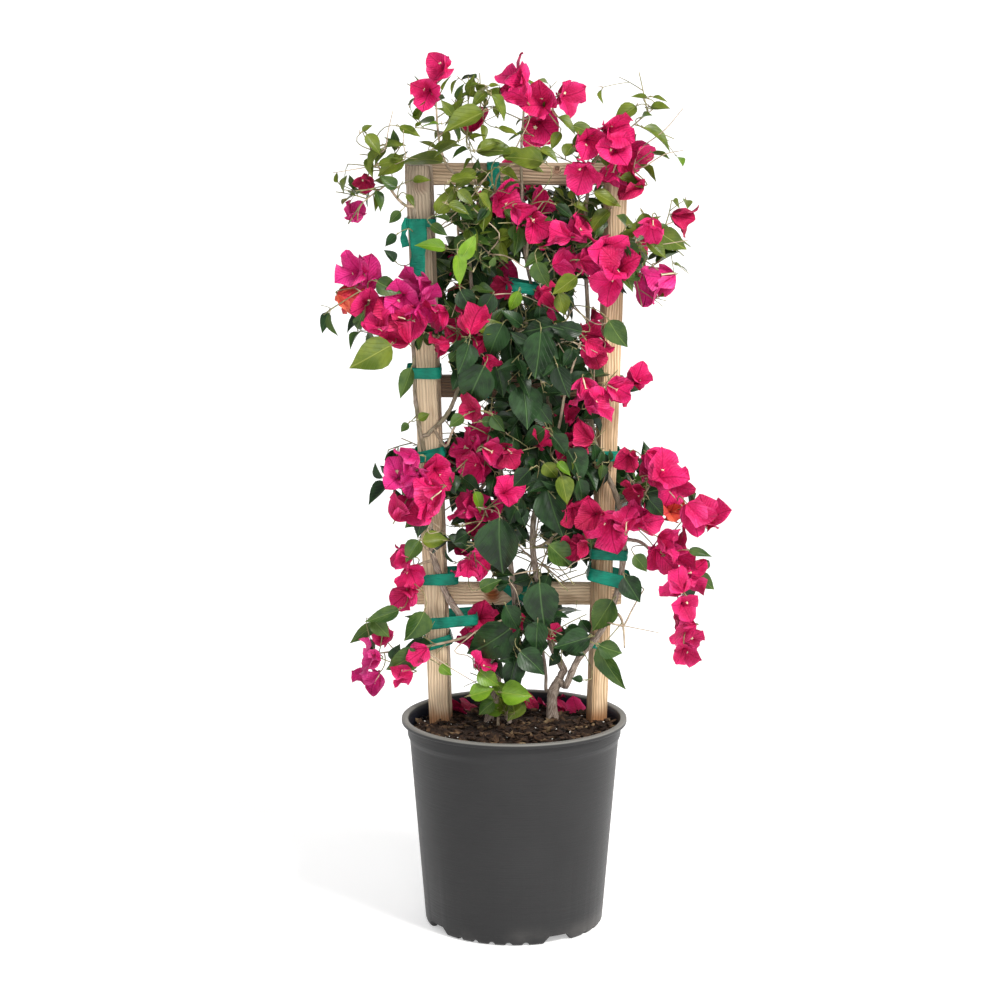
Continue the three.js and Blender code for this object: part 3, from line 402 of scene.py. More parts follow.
def foot_lift(turn):
    """The foot ring's lift at an angle: a notch with slanted sides, or a scallop's half circle."""
    quarter = (np.degrees(turn) - NOTCH["first"] + 45) % 90 - 45
    across = np.abs(np.radians(quarter)) * wall_radius(0)
    slope = (NOTCH["foot"] / 2 - across) / ((NOTCH["foot"] - NOTCH["top"]) / 2)
    notch = NOTCH["height"] * np.clip(slope, 0, 1)
    pitch = SCALLOP["pitch"]
    from_scallop = np.radians((quarter + pitch / 2) % pitch - pitch / 2) * wall_radius(0)
    clear = across > NOTCH["foot"] / 2 + 4
    scallop = SCALLOP["height"] * np.sqrt(np.clip(1 - (from_scallop / SCALLOP["radius"]) ** 2, 0, 1)) * clear
    return np.maximum(notch, scallop)


def pot_surface(columns=768):
    """The profile spun round the axis: x and y are its radius times the cosine and sine of the angle.
    The foot ring is lifted, and the mouth wobbles a little."""
    profile = pot_profile()
    turn = np.linspace(0, 2 * np.pi, columns, endpoint=False)
    radius, height = profile[:, 0][:, None], profile[:, 1][:, None]
    low, near = POT["foot_zone"], wall_radius(0) - POT["foot_zone"]
    ring = (radius > POT["pad"] + low) & (height < low) & (radius > near)
    lifted = height + foot_lift(turn)[None] * np.clip(1 - height / low, 0, 1) * ring
    wobble = 0.25 * np.sin(2 * turn + 0.6)[None] * (height / POT["height"])
    spun = radius + wobble * (radius > 50)
    return np.stack([spun * np.cos(turn), spun * np.sin(turn), lifted], -1)


# %% [markdown]
# ## The pot's finish
#
# Moulded plastic is never one flat black: it is scuffed in level lines
# where pots are stacked and dusty at the foot. The rim's top is painted pale
# as light falls on it, and the inside of the mouth dark as painted shade.
# An image could hold such marks; noise drawn out round the pot needs none,
# and the height on the pot says where rim, inside and foot are.

# %% Pot plastic
def pot_plastic():
    """Dark grey plastic, scuffed in fine level lines and dusty at the foot, with painted light on the rim's
    top and painted shade inside the mouth.
    """
    skin = Finish("pot_plastic", specular=0.2)
    place = skin.place()
    x, y, z = skin.split(place)
    cloud = skin.noise(place, 14.0, 4.0)
    lines = skin.noise(skin.stretched(place, 3, 3, 90), 6.0, 3.0, 0.6)
    shade = skin.blend(cloud, (0.015, 0.015, 0.016), (0.025, 0.025, 0.026))
    shade = skin.blend(lines * 0.2, shade, (0.045, 0.045, 0.044))
    # Painted shade: the inside of the pot's mouth, above the mix, is made darker and bluer.
    painted_mouth_shade = 1 - skin.step(skin.distance(skin.join(x, y), (0, 0, 0)), 0.1305, 0.1318)
    painted_mouth_shade = painted_mouth_shade * skin.step(z, 0.235, 0.245)
    shade = skin.blend(painted_mouth_shade, shade, (0.010, 0.011, 0.019))
    # Painted light: the rim's top is made pale grey, mottled by the cloud.
    rim = skin.step(z, 0.2592, 0.2612)
    shade = skin.blend(rim * (0.5 + 0.5 * cloud), shade, (0.24, 0.235, 0.215))
    dust = (1 - skin.step(z, 0.0, 0.03)) * skin.step(cloud, 0.4, 0.7)
    shade = skin.blend(dust * 0.35, shade, (0.16, 0.15, 0.14))
    skin.set("Base Color", shade)
    skin.set("Roughness", 0.36 + 0.16 * lines + 0.12 * rim)
    return skin.relief(lines + 0.4 * cloud, 0.0004)


pot_points, pot_faces = closed_tube(pot_surface())
pot = put_mesh("pot_shell", pot_points, pot_faces)
dress(pot, pot_plastic(), "pot_plastic", "pot")

# %% [markdown]
# ## The potting mix
#
# Potting mix is shredded bark with a little white perlite. Its surface is a
# disc with a rough relief, and on it lie chips: rounded slabs whose corners
# are moved at random, so no two are alike.

# %% Mix
TOP_RINGS = 64
SHOULDER = 112
# Height, length and seed of each ripple
MIX_RIPPLES = [(1.6, 34, 3), (1.1, 9, 4), (0.6, 4, 5)]


def mix_surface(columns=180):
    """A plug: rings of growing radius on top, then down the wall and in again below. Three sizes of
    ripple lift the top, and it sinks past its shoulder."""
    edge = wall_radius(240) - POT["wall"] - 0.4
    top = np.linspace(0.02, edge, TOP_RINGS)
    radius = np.concatenate([top, [edge - 1.2, wall_radius(14) - POT["wall"] - 0.5, POT["pad"] + 8, 0.02]])
    sunk = 3 * np.clip(top - SHOULDER, 0, None) / (edge - SHOULDER)
    height = np.concatenate([SOIL_TOP - sunk, [225, 13, 13, 13]])
    turn = np.linspace(0, 2 * np.pi, columns, endpoint=False)
    grid = np.stack([radius[:, None] * np.cos(turn), radius[:, None] * np.sin(turn),
                     np.repeat(height[:, None], columns, 1)], -1)
    rough = sum(high * ripple(grid[:TOP_RINGS], size, seed) for high, size, seed in MIX_RIPPLES)
    grid[:TOP_RINGS, :, 2] += rough - 0.6
    return grid[::-1]


def soil_material():
    """Near black shreds with brown grains, and darker patches where the mix is damp."""
    mix = Finish("potting_mix", roughness=0.93, specular=0.25)
    place = mix.place()
    grain = mix.noise(place, 190.0, 5.0, 0.65)
    patch = mix.noise(place, 40.0, 3.0)
    shade = mix.blend(grain, (0.005, 0.003, 0.002), (0.050, 0.028, 0.017))
    mix.set("Base Color", mix.blend(patch * 0.6, shade, (0.014, 0.008, 0.006)))
    return mix.relief(grain, 0.002)


mix_points, mix_faces = closed_tube(mix_surface())
dress(put_mesh("mix_top", mix_points, mix_faces), soil_material(), "potting_mix", "soil")


# %% Chips and perlite
def scatter_on_mix(count, seed, reach=124):
    """Places spread evenly over the disc: the radius is the root of a share of its area."""
    random = np.random.default_rng(seed)
    radius = reach * np.sqrt(random.uniform(0, 1, count))
    turn = random.uniform(0, 2 * np.pi, count)
    places = np.stack([radius * np.cos(turn), radius * np.sin(turn), np.full(count, SOIL_TOP + 1.0)], -1)
    return places, random


def chip_shapes(count, seed, size, flat, lift):
    """Closed lumps: a ball of three rings and two poles, squashed, turned, its corners moved."""
    places, random = scatter_on_mix(count, seed)
    ball = [(0, 0, -1)]
    for z, r in ((-0.55, 0.8), (0.1, 1.0), (0.6, 0.75)):
        ball += [(r * math.cos(a), r * math.sin(a), z) for a in np.arange(6) * math.pi / 3 + z]
    ball = np.array([*ball, (0, 0, 1)])
    faces = [[0, 1 + (j + 1) % 6, 1 + j] for j in range(6)]
    faces += (grid_faces(3, 6) + 1).tolist()
    faces += [[19, 13 + j, 13 + (j + 1) % 6] for j in range(6)]
    long = random.uniform(*size, count)
    broad = long * random.uniform(0.3, 0.6, count)
    half = np.stack([long, broad, long * random.uniform(*flat, count)], -1) / 2
    lump = ball[None] * half[:, None] * (1 + 0.28 * random.uniform(-1, 1, (count, len(ball), 1)))
    turn, tip = random.uniform(0, 2 * np.pi, count), random.normal(0, 0.35, count)
    x = lump[..., 0] * np.cos(tip)[:, None] - lump[..., 2] * np.sin(tip)[:, None]
    z = lump[..., 0] * np.sin(tip)[:, None] + lump[..., 2] * np.cos(tip)[:, None]
    y = lump[..., 1]
    spun = np.stack([x * np.cos(turn)[:, None] - y * np.sin(turn)[:, None],
                     x * np.sin(turn)[:, None] + y * np.cos(turn)[:, None], z], -1)
    spun[..., 2] += random.uniform(*lift, count)[:, None]
    return (spun + places[:, None]).reshape(-1, 3), repeat_faces(faces, count, len(ball))


def chip_material():
    """Bark chips from near black to straw, by a noise wide enough to give each chip its own tone."""
    chip = Finish("bark_chips", roughness=0.9, specular=0.25)
    place = chip.place()
    tone = chip.noise(place, 60.0, 2.0)
    grain = chip.noise(place, 500.0, 3.0)
    stops = [(0.3, (0.007, 0.004, 0.003)), (0.5, (0.035, 0.018, 0.010)), (0.62, (0.11, 0.062, 0.032)),
             (0.74, (0.33, 0.24, 0.13))]
    shade = chip.node("ShaderNodeValToRGB", {"stops": stops}, {0: tone})
    chip.set("Base Color", chip.blend(grain * 0.4, shade, (0.02, 0.012, 0.008)))
    return chip.relief(grain, 0.0006)


def perlite_material():
    """Off-white foamed grains."""
    grit = Finish("perlite", roughness=0.85)
    tone = grit.noise(grit.place(), 300.0)
    grit.set("Base Color", grit.blend(tone, (0.55, 0.53, 0.48), (0.85, 0.84, 0.80)))
    return grit.material


chips = put_mesh("bark_chips", *chip_shapes(950, 21, (5, 17), (0.12, 0.3), (-0.5, 2.2)), smooth=False)
dress(chips, chip_material(), "potting_mix")
grit = put_mesh("perlite", *chip_shapes(34, 22, (1.6, 3.4), (0.6, 0.9), (0, 1.6)))
dress(grit, perlite_material(), "potting_mix")

# %% [markdown]
# ## The trellis
#
# Two square stakes stand in the mix with three flat bars across their
# backs, all sawn from pale softwood. A rounded square carried along the
# length gives worn edges, and ripples give saw marks and warp. The grain is
# noise drawn out along the wood, with rings round a knot.

# %% Stakes and bars
# Each stake: x and y of its middle at foot and head, top, widths at foot and head, turn in degrees
POSTS = {
    "post_left": {"foot": (-92, 36), "head": (-116, 36), "top": 942, "widths": (27, 31), "turn": -7},
    "post_right": {"foot": (104, 37), "head": (124, 37), "top": 936, "widths": (22, 24.5), "turn": 17},
}
POST_BOTTOM = 160
HEAD_HEIGHT = 942
BARS = {
    "bar_low": {"left": -125, "right": 135, "z": 405},
    "bar_mid": {"left": -124, "right": 136, "z": 668},
    "bar_top": {"left": -134, "right": 138, "z": 930},
}
BAR = {"height": 27, "depth": 20, "gap": 0.5}


def post_at(post, z):
    """The middle and the width of a stake, which change evenly from foot to head."""
    share = (np.asarray(z, float) - SOIL_TOP) / (HEAD_HEIGHT - SOIL_TOP)
    x = post["foot"][0] + (post["head"][0] - post["foot"][0]) * share
    y = post["foot"][1] + (post["head"][1] - post["foot"][1]) * share
    return x, y, post["widths"][0] + (post["widths"][1] - post["widths"][0]) * share


def turned_reach(width, turn):
    """Half the breadth of a square seen from the front when it is turned about its length."""
    angle = math.radians(abs(turn))
    return width / 2 * (math.cos(angle) + math.sin(angle))


def bar_placing(bar):
    """A bar's turn, front face and middle: it lies against the line behind both stakes."""
    backs = []
    for post in POSTS.values():
        x, y, width = post_at(post, bar["z"] + BAR["height"] / 2)
        backs.append((x, y + turned_reach(width, post["turn"])))
    (x0, y0), (x1, y1) = backs
    yaw = math.atan2(y1 - y0, x1 - x0)
    middle = (bar["left"] + bar["right"]) / 2
    front = y0 + math.tan(yaw) * (middle - x0) + BAR["gap"]
    return yaw, front, (middle, front + BAR["depth"] / 2, bar["z"])


print("turn of each bar", {name: round(math.degrees(bar_placing(bar)[0]), 2) for name, bar in BARS.items()})


# %% Sawn wood
def square_ring(per_side=7):
    """Points round a square of side 1: each side's points, then the corner that ends it."""
    side = np.linspace(-0.5, 0.5, per_side + 2)[1:-1]
    edge = np.concatenate([np.stack([np.full(per_side, 0.5), side], -1), [[0.5, 0.5]]])
    turns = [(math.cos(k * math.pi / 2), math.sin(k * math.pi / 2)) for k in range(4)]
    return np.concatenate([edge @ np.array([[cos, sin], [-sin, cos]]) for cos, sin in turns])


def timber_grid(length, width, height, seed, rings=90):
    """A square ring with its corners drawn in, carried along, with saw marks and a slow warp."""
    ring = square_ring()
    along = np.linspace(0, 1, rings)
    grid = np.zeros((rings, len(ring), 3))
    grid[..., 0] = ring[:, 0]
    grid[..., 1] = ring[:, 1]
    corner = (np.abs(ring[:, 0]) > 0.49) & (np.abs(ring[:, 1]) > 0.49)
    draw = np.where(corner, 0.93, 1.0)
    size = np.stack([np.broadcast_to(width, rings), np.broadcast_to(height, rings)], -1)
    end = np.minimum(along, 1 - along) * length
    shrink = 1 - 0.06 * np.clip(1 - end / 1.6, 0, 1) ** 2
    grid[..., :2] *= size[:, None] * shrink[:, None, None] * draw[None, :, None]
    grid[..., 2] = (along * length)[:, None]
    marks = 0.16 * ripple(grid * [1, 1, 0.25], 9, seed) + 0.1 * ripple(grid * [1, 1, 2.2], 14, seed + 1)
    grid[..., :2] += unit(grid[..., :2]) * (marks - 0.2)[..., None]
    around = np.linspace(0, 1, len(ring), endpoint=False) * 4 * np.mean(size)
    uv = np.stack(np.broadcast_arrays(around[None, :], grid[..., 2]), -1)
    return grid, uv


print("points round a piece of wood", len(square_ring()))

# %% Softwood
DARK_WOOD = (0.26, 0.145, 0.07)


def timber_material(name, knot, wet, grey, share, painted_lighting_tint):
    """Pale softwood: streaks along the wood, rings round a knot (place and size in metres), a share
    of a tint of painted light (pale) or painted shade (dark), a wet orange foot and a grey weathered head."""
    wood = Finish(name, roughness=0.72, specular=0.3)
    around, along = wood.uv()
    place = wood.place()
    _, _, z = wood.split(place)
    bend = wood.noise(wood.join(around * 0.012, along * 0.006), 2.0, 2.0)
    near = 1 - wood.step(wood.distance(place, knot[:3]), knot[3] * 0.3, knot[3] * 1.15)
    streak = wood.noise(wood.join((around + 9 * bend) * 0.42, along * 0.010), 1.0, 4.0, 0.6)
    rings = wood.noise(wood.join((around + 14 * bend) * 0.16, along * 0.004), 1.0, 2.0)
    late = wood.sine((around + 10 * bend + 5 * near) * 1.7 + 5 * rings)
    patch = wood.noise(wood.join(around * 0.05, along * 0.016), 1.0, 2.0)
    shade = wood.blend(wood.step(streak, 0.36, 0.66), (0.86, 0.64, 0.41), (0.58, 0.38, 0.21))
    shade = wood.blend(wood.step(rings, 0.50, 0.70) * 0.5, shade, (0.40, 0.24, 0.125))
    # Painted light and shade: a pale tint lightens pieces that the leaves shade, and a dark one darkens the
    # middle bar as painted shade.
    shade = wood.blend(share, shade, painted_lighting_tint)
    shade = wood.blend(wood.step(patch, 0.52, 0.68) * 0.5, shade, DARK_WOOD)
    shade = wood.blend(wood.step(late, 0.1, 1.0) * (0.1 + 0.6 * streak), shade, DARK_WOOD)
    shade = wood.blend(near * (0.7 + 0.5 * streak), shade, (0.30, 0.085, 0.017))
    if grey:
        old = wood.step(z + 0.05 * (rings - 0.5), 0.70, 0.93)
        shade = wood.blend(old * grey, shade, (0.30, 0.245, 0.19))
    if wet:
        foot = 1 - wood.step(z + 0.02 * (streak - 0.5), 0.250, 0.272)
        shade = wood.blend(foot * 0.85, shade, (0.27, 0.10, 0.028))
    wood.set("Base Color", shade)
    return wood.relief(streak - 0.4 * late, 0.0011)


# %% Five pieces of wood
def stake_grid(post, seed):
    """The sawn piece with each ring scaled to the stake's width there, turned and set in place."""
    first_width = post["widths"][0]
    grid, uv = timber_grid(post["top"] - POST_BOTTOM, first_width, first_width, seed)
    z = grid[..., 2] + POST_BOTTOM
    x, y, width = post_at(post, z)
    across, deep = np.moveaxis(grid[..., :2] / first_width * width[..., None], -1, 0)
    turn = math.radians(post["turn"])
    return np.stack([x + across * math.cos(turn) - deep * math.sin(turn),
                     y + across * math.sin(turn) + deep * math.cos(turn), z], -1), uv


def bar_grid(bar, seed):
    """The sawn piece laid level along the line behind both stakes."""
    yaw, _, middle = bar_placing(bar)
    length = bar["right"] - bar["left"]
    grid, uv = timber_grid(length, BAR["depth"], BAR["height"], seed, 60)
    along = grid[..., 2] - length / 2
    x = middle[0] + along * math.cos(yaw) - grid[..., 0] * math.sin(yaw)
    y = middle[1] + along * math.sin(yaw) + grid[..., 0] * math.cos(yaw)
    return np.stack([x, y, middle[2] + grid[..., 1]], -1)[::-1], uv[::-1, ::-1]


PAINTED_LIGHT_TINT = (1.0, 0.83, 0.60)
# Each piece: its material, seed, knot, wet foot, share of grey, and share and colour of its tint:
# pale for painted light on wood that the leaves shade, dark for painted shade on the middle bar
WOOD_LOOKS = {
    "post_left": ("stake_wood_left", 31, (-0.114, 0.021, 0.918, 0.012), True, 0.8, 0.5, PAINTED_LIGHT_TINT),
    "post_right": ("stake_wood_right", 32, (0.119, 0.025, 0.742, 0.006), True, 0.35, 0.0, PAINTED_LIGHT_TINT),
    "bar_low": ("bar_wood_low", 33, (-0.027, 0.052, 0.404, 0.012), False, 0.0, 0.55, PAINTED_LIGHT_TINT),
    "bar_mid": ("bar_wood_mid", 34, (0.075, 0.053, 0.672, 0.007), False, 0.0, 0.85, (0.05, 0.028, 0.026)),
    "bar_top": ("bar_wood_top", 35, (0.052, 0.053, 0.934, 0.006), False, 0.5, 0.0, PAINTED_LIGHT_TINT),
}
for name, (label, seed, *look) in WOOD_LOOKS.items():
    grid, uv = stake_grid(POSTS[name], seed) if name in POSTS else bar_grid(BARS[name], seed)
    points, faces = closed_tube(grid)
    flat = np.concatenate([uv.reshape(-1, 2), [[0, 0], [0, uv[..., 1].max()]]])
    dress(put_mesh(name + "_wood", points, faces, flat), timber_material(label, *look), "timber", name)

# %% [markdown]
# ## The tie tape
#
# Green garden tape is a thin stretchy strip that is wound round stake and
# stem and knotted. Each tie is a strip swept along a rounded loop, with
# creases that run along it, and the loose ends hang or stand off as a bow.

# %% Tie tape
TAPE_THICK = 0.9
STRETCHED = 0.94
# Each tie on a stake: stake, height, width, how far it stands off in front, left and right, and slant
POST_TIES = {
    "tie_left_top": ("post_left", 874, 11, 16, 0, 0, 0),
    "tie_left_upper": ("post_left", 691, 15, 15, 7, 0, 0),
    "tie_left_middle": ("post_left", 590, 15, 15.5, 0, 0, 12),
    "tie_left_bar": ("post_left", 434, 15, 16, 0, 12, 2),
    "tie_left_lower": ("post_left", 379, 15, 16, 0, 34, 5),
    "tie_left_foot": ("post_left", 351, 14, 3, 0, 0, 16),
    "tie_right_upper": ("post_right", 588, 14, 15, 2, 1, 0),
    "tie_right_middle": ("post_right", 464, 14, 10, 0, 15, -3),
    "tie_right_bar": ("post_right", 436, 18, 13, 1, 17, -14),
}
SMALL_TIE = ("post_right", 346, 9, 2, 0, 0, -14)
STEM_TIE = {"middle": (14, 34, 795), "half": (24, 34, 9), "width": 13, "slant": -10}
# Each tie on a bar: bar, x, width and how far it stands off in front
BAR_TIES = {
    "tie_bar_low": ("bar_low", 18, 15, 6),
    "tie_bar_mid": ("bar_mid", -37, 14, 3.5),
    "tie_bar_top": ("bar_top", -26, 16, 4),
}

print("ties on stakes", len(POST_TIES), "ties on bars", len(BAR_TIES))


# %% Tape shapes
def loop_path(left, right, front, back, corner=7, steps=120):
    """A rounded rectangle seen from above, at even distances along its outline."""
    outline = [[right, back], [left, back], [left, front], [right, front]]
    path = rounded([*outline, *outline[:2]], corner, 7)[1:-1]
    path[-1] = path[0]
    legs = np.concatenate([[0], np.cumsum(np.linalg.norm(np.diff(path, axis=0), axis=1))])
    even = np.linspace(0, legs[-1], steps, endpoint=False)
    return np.stack([np.interp(even, legs, path[:, 0]), np.interp(even, legs, path[:, 1])], -1)


def tape_section(width, thick, columns=14):
    """Points round the strip's cross section: across its outer face and back."""
    across = np.linspace(-0.5, 0.5, columns) * width
    crown = thick / 2 * np.sqrt(np.clip(1 - (2 * across / width) ** 6, 0.02, 1))
    return np.concatenate([np.stack([across, crown], -1), np.stack([across[::-1], -crown[::-1]], -1)])


def tape_strip(path, wide, width, seed, joined=True, pinch=0.0):
    """The section carried along a path, its width along the wide way. Creases lift its faces, and
    the pinch narrows its middle."""
    after, before = np.roll(path, -1, 0), np.roll(path, 1, 0)
    if not joined:
        after[-1], before[0] = path[-1], path[0]
    way = unit(after - before)
    wide = np.broadcast_to(np.asarray(wide, float), path.shape)
    wide = unit(wide - (wide * way).sum(-1, keepdims=True) * way)
    out = np.cross(way, wide)
    share = np.linspace(0, 1, len(path))
    narrow = 1 - pinch * np.exp(-((share - 0.5) / 0.12) ** 2)
    section = tape_section(width, TAPE_THICK)
    turn = 2 * np.pi * (np.arange(len(path)) / len(path))[:, None]
    line = np.stack(np.broadcast_arrays(section[None, :, 0], 6 * np.sin(turn), 6 * np.cos(turn)), -1)
    crease = 0.34 * ripple(line * [1, 0.8, 0.8], 4.5, seed)
    edge = 1 + 0.05 * ripple(line * [0.1, 1, 1], 9, seed + 1)
    grid = path[:, None] + wide[:, None] * (section[None, :, 0] * narrow[:, None] * edge)[..., None]
    return grid + out[:, None] * (section[None, :, 1] + crease)[..., None]


def joined_ends(grid):
    """A strip that closes on itself: its last row is joined to its first."""
    rows, columns, _ = grid.shape
    faces = grid_faces(rows + 1, columns) % (rows * columns)
    return grid.reshape(-1, 3), list(faces)


def facing_out(points, faces):
    """The faces turned round if the body they close has a negative volume."""
    corners = np.array([[f[0], f[i], f[i + 1]] for f in faces for i in range(1, len(f) - 1)])
    a, b, c = np.asarray(points)[corners.T]
    return [list(f)[::-1] for f in faces] if (a * np.cross(b, c)).sum() < 0 else faces


def add_parts(parts):
    """Several bodies as one list of points and faces."""
    points, faces, count = [], [], 0
    for part_points, part_faces in parts:
        points.append(part_points)
        faces += [[int(v) + count for v in face] for face in facing_out(part_points, part_faces)]
        count += len(part_points)
    return np.concatenate(points), faces


def slanted(path, slant, centre):
    """A loop put at its centre and tilted about the line of sight, and the way its width then lies."""
    angle = math.radians(slant)
    flat = np.concatenate([path, np.zeros((len(path), 1))], 1)
    flat = np.stack([flat[:, 0] * math.cos(angle), flat[:, 1], flat[:, 0] * math.sin(angle)], -1)
    return flat + np.asarray(centre), (-math.sin(angle), 0, math.cos(angle))


# %% Tape and ties
def tape_material():
    """Green stretch tape: cloudy, a little paler on its fine creases, half glossy."""
    tape = Finish("tie_tape", specular=0.2)
    place = tape.place()
    cloud = tape.noise(place, 60.0, 3.0)
    fine = tape.noise(tape.stretched(place, 1, 1, 6), 120.0, 3.0)
    shade = tape.blend(tape.step(cloud, 0.3, 0.7), (0.0, 0.10, 0.063), (0.001, 0.225, 0.145))
    tape.set("Base Color", tape.blend(fine * 0.2, shade, (0.03, 0.42, 0.29)))
    tape.set("Roughness", 0.36 + 0.2 * fine)
    return tape.relief(fine, 0.0012)


tape = tape_material()


def tail_strip(start, end, width, seed, bulge, pinch=0.0, wide=(1, 0, 0)):
    """A loose end: a strip from start to end that bellies out by the bulge at its middle."""
    t = np.linspace(0, 1, 26)[:, None]
    path = np.array(start) * (1 - t) + np.array(end) * t + np.array(bulge) * np.sin(np.pi * t)
    return closed_tube(tape_strip(path, wide, width, seed, False, pinch))


# The tails of the top tie: start and end from the knot, width, bulge, and how far they are drawn together
TOP_TAILS = [
    ((-4, 0, 0), (-8, -1, -86), 21, (3, -2, 0), 0.2),
    ((-15, 5, 0), (-18, 8, -34), 9, (-4, -2, 0), 0.4),
]


def post_tie(name, tie, seed):
    """The band of a tie on a stake, and the two tails that hang from the top one."""
    on, z, width, stand_off, left, right, slant = tie
    x, y, post_width = post_at(POSTS[on], z)
    half = turned_reach(post_width, POSTS[on]["turn"]) + 0.9 + abs(slant) * 0.11
    front = -half - stand_off
    loop, wide = slanted(loop_path(-half - left, half + right, front, half), slant, (x, y, z))
    parts = [joined_ends(tape_strip(loop, wide, width * STRETCHED, seed))]
    if name == "tie_left_top":
        knot = np.array([x, y + front - 1.5, z + 5])
        for number, (start, end, tail_width, bulge, pinch) in enumerate(TOP_TAILS):
            parts.append(tail_strip(knot + start, knot + end, tail_width, seed + 2 + number, bulge, pinch))
    return parts


def bar_tie(name, tie, seed):
    """The band of a tie on a bar, with a bow on the low one and a tail on the top one."""
    on, x, width, stand_off = tie
    yaw, front, (middle, _, z) = bar_placing(BARS[on])
    y = front + math.tan(yaw) * (x - middle)
    half = BAR["height"] / 2 + 0.9
    path = loop_path(-half, half, -0.6 - stand_off, BAR["depth"] + 0.8)
    loop = np.stack([np.full(len(path), float(x)), y + path[:, 1], z + path[:, 0]], -1)
    parts = [joined_ends(tape_strip(loop, (1, 0, 0), width * STRETCHED, seed))]
    face = y - 1.8 - stand_off
    for lean in (-1, 1) if name == "tie_bar_low" else ():
        ends = (x - 12 - 19 * lean, face, z + 13), (x - 12 + 17 * lean, face - 1, z - 17)
        parts.append(tail_strip(*ends, 10, seed + 2 + lean, (0, -2.2, 0), 0.45, (1, 0, 0.7 * lean)))
    if name == "tie_bar_top":
        parts.append(tail_strip((x, face, z + 12), (x + 2, face - 1, z - 28), 14, seed + 4, (1, -2, 0)))
    return parts


def tape_piece(name, parts, *nodes):
    return dress(put_mesh(name + "_tape", *add_parts(parts)), tape, "tie_tape", *nodes)


for number, (name, tie) in enumerate(POST_TIES.items()):
    tape_piece(name, post_tie(name, tie, 50 + 7 * number), name)
for number, (name, tie) in enumerate(BAR_TIES.items()):
    tape_piece(name, bar_tie(name, tie, 150 + 7 * number), name)
tape_piece("tie_right_foot", post_tie("tie_right_foot", SMALL_TIE, 190))
half_x, front, back = STEM_TIE["half"]
loop, wide = slanted(loop_path(-half_x, half_x, -front, back), STEM_TIE["slant"], STEM_TIE["middle"])
tape_piece("tie_stems", [joined_ends(tape_strip(loop, wide, STEM_TIE["width"], 197))])

# %% [markdown]
# ## Stems and boughs
#
# The stems start on the mix or on another limb, and run through a few
# points with an even taper. A ring with bark relief, swollen joints and a
# root flare is carried along a smooth curve through them.

# %% Seeded numbers and curves
def seeded(seed):
    """Numbers between 0 and 1, the same on every run: each step adds a constant and mixes the bits."""
    state = [seed & 0xFFFFFFFF]

    def draw():
        state[0] = (state[0] + 0x6D2B79F5) & 0xFFFFFFFF
        s = state[0]
        mixed = ((s ^ (s >> 15)) * (1 | s)) & 0xFFFFFFFF
        mixed = ((mixed + (((mixed ^ (mixed >> 7)) * (61 | mixed)) & 0xFFFFFFFF)) ^ mixed) & 0xFFFFFFFF
        return (mixed ^ (mixed >> 14)) / 4294967296

    return draw


def square_to(way, axis):
    """The unit way that is left of a way when its share along an axis is taken off."""
    return unit(way - way @ axis * axis)


def smooth_curve(points, per_leg=12):
    """A cubic on each leg; its slope at a point is half the way between the two neighbours."""
    p = np.asarray(points, float)
    p = np.concatenate([[2 * p[0] - p[1]], p, [2 * p[-1] - p[-2]]])
    t = np.linspace(0, 1, per_leg, endpoint=False)[:, None]
    legs = []
    for a, b, c, d in zip(p, p[1:], p[2:], p[3:]):
        legs.append(0.5 * (2 * b + (c - a) * t + (2 * a - 5 * b + 4 * c - d) * t ** 2
                           + (3 * b - a - 3 * c + d) * t ** 3))
    return np.concatenate([*legs, [p[-2]]])


class Path:
    """A finely sampled curve that is read by its share of the length."""

    def __init__(self, points):
        self.points = np.asarray(points, float)
        legs = np.linalg.norm(np.diff(self.points, axis=0), axis=1)
        self.length = legs.sum()
        self.shares = np.concatenate([[0], np.cumsum(legs)]) / self.length

    def at(self, t):
        t = np.asarray(t, float)
        return np.stack([np.interp(t, self.shares, self.points[:, k]) for k in range(3)], -1)

    def way(self, t):
        near = 0.01
        t = np.clip(np.asarray(t, float), near, 1 - near)
        return unit(self.at(t + near) - self.at(t - near))


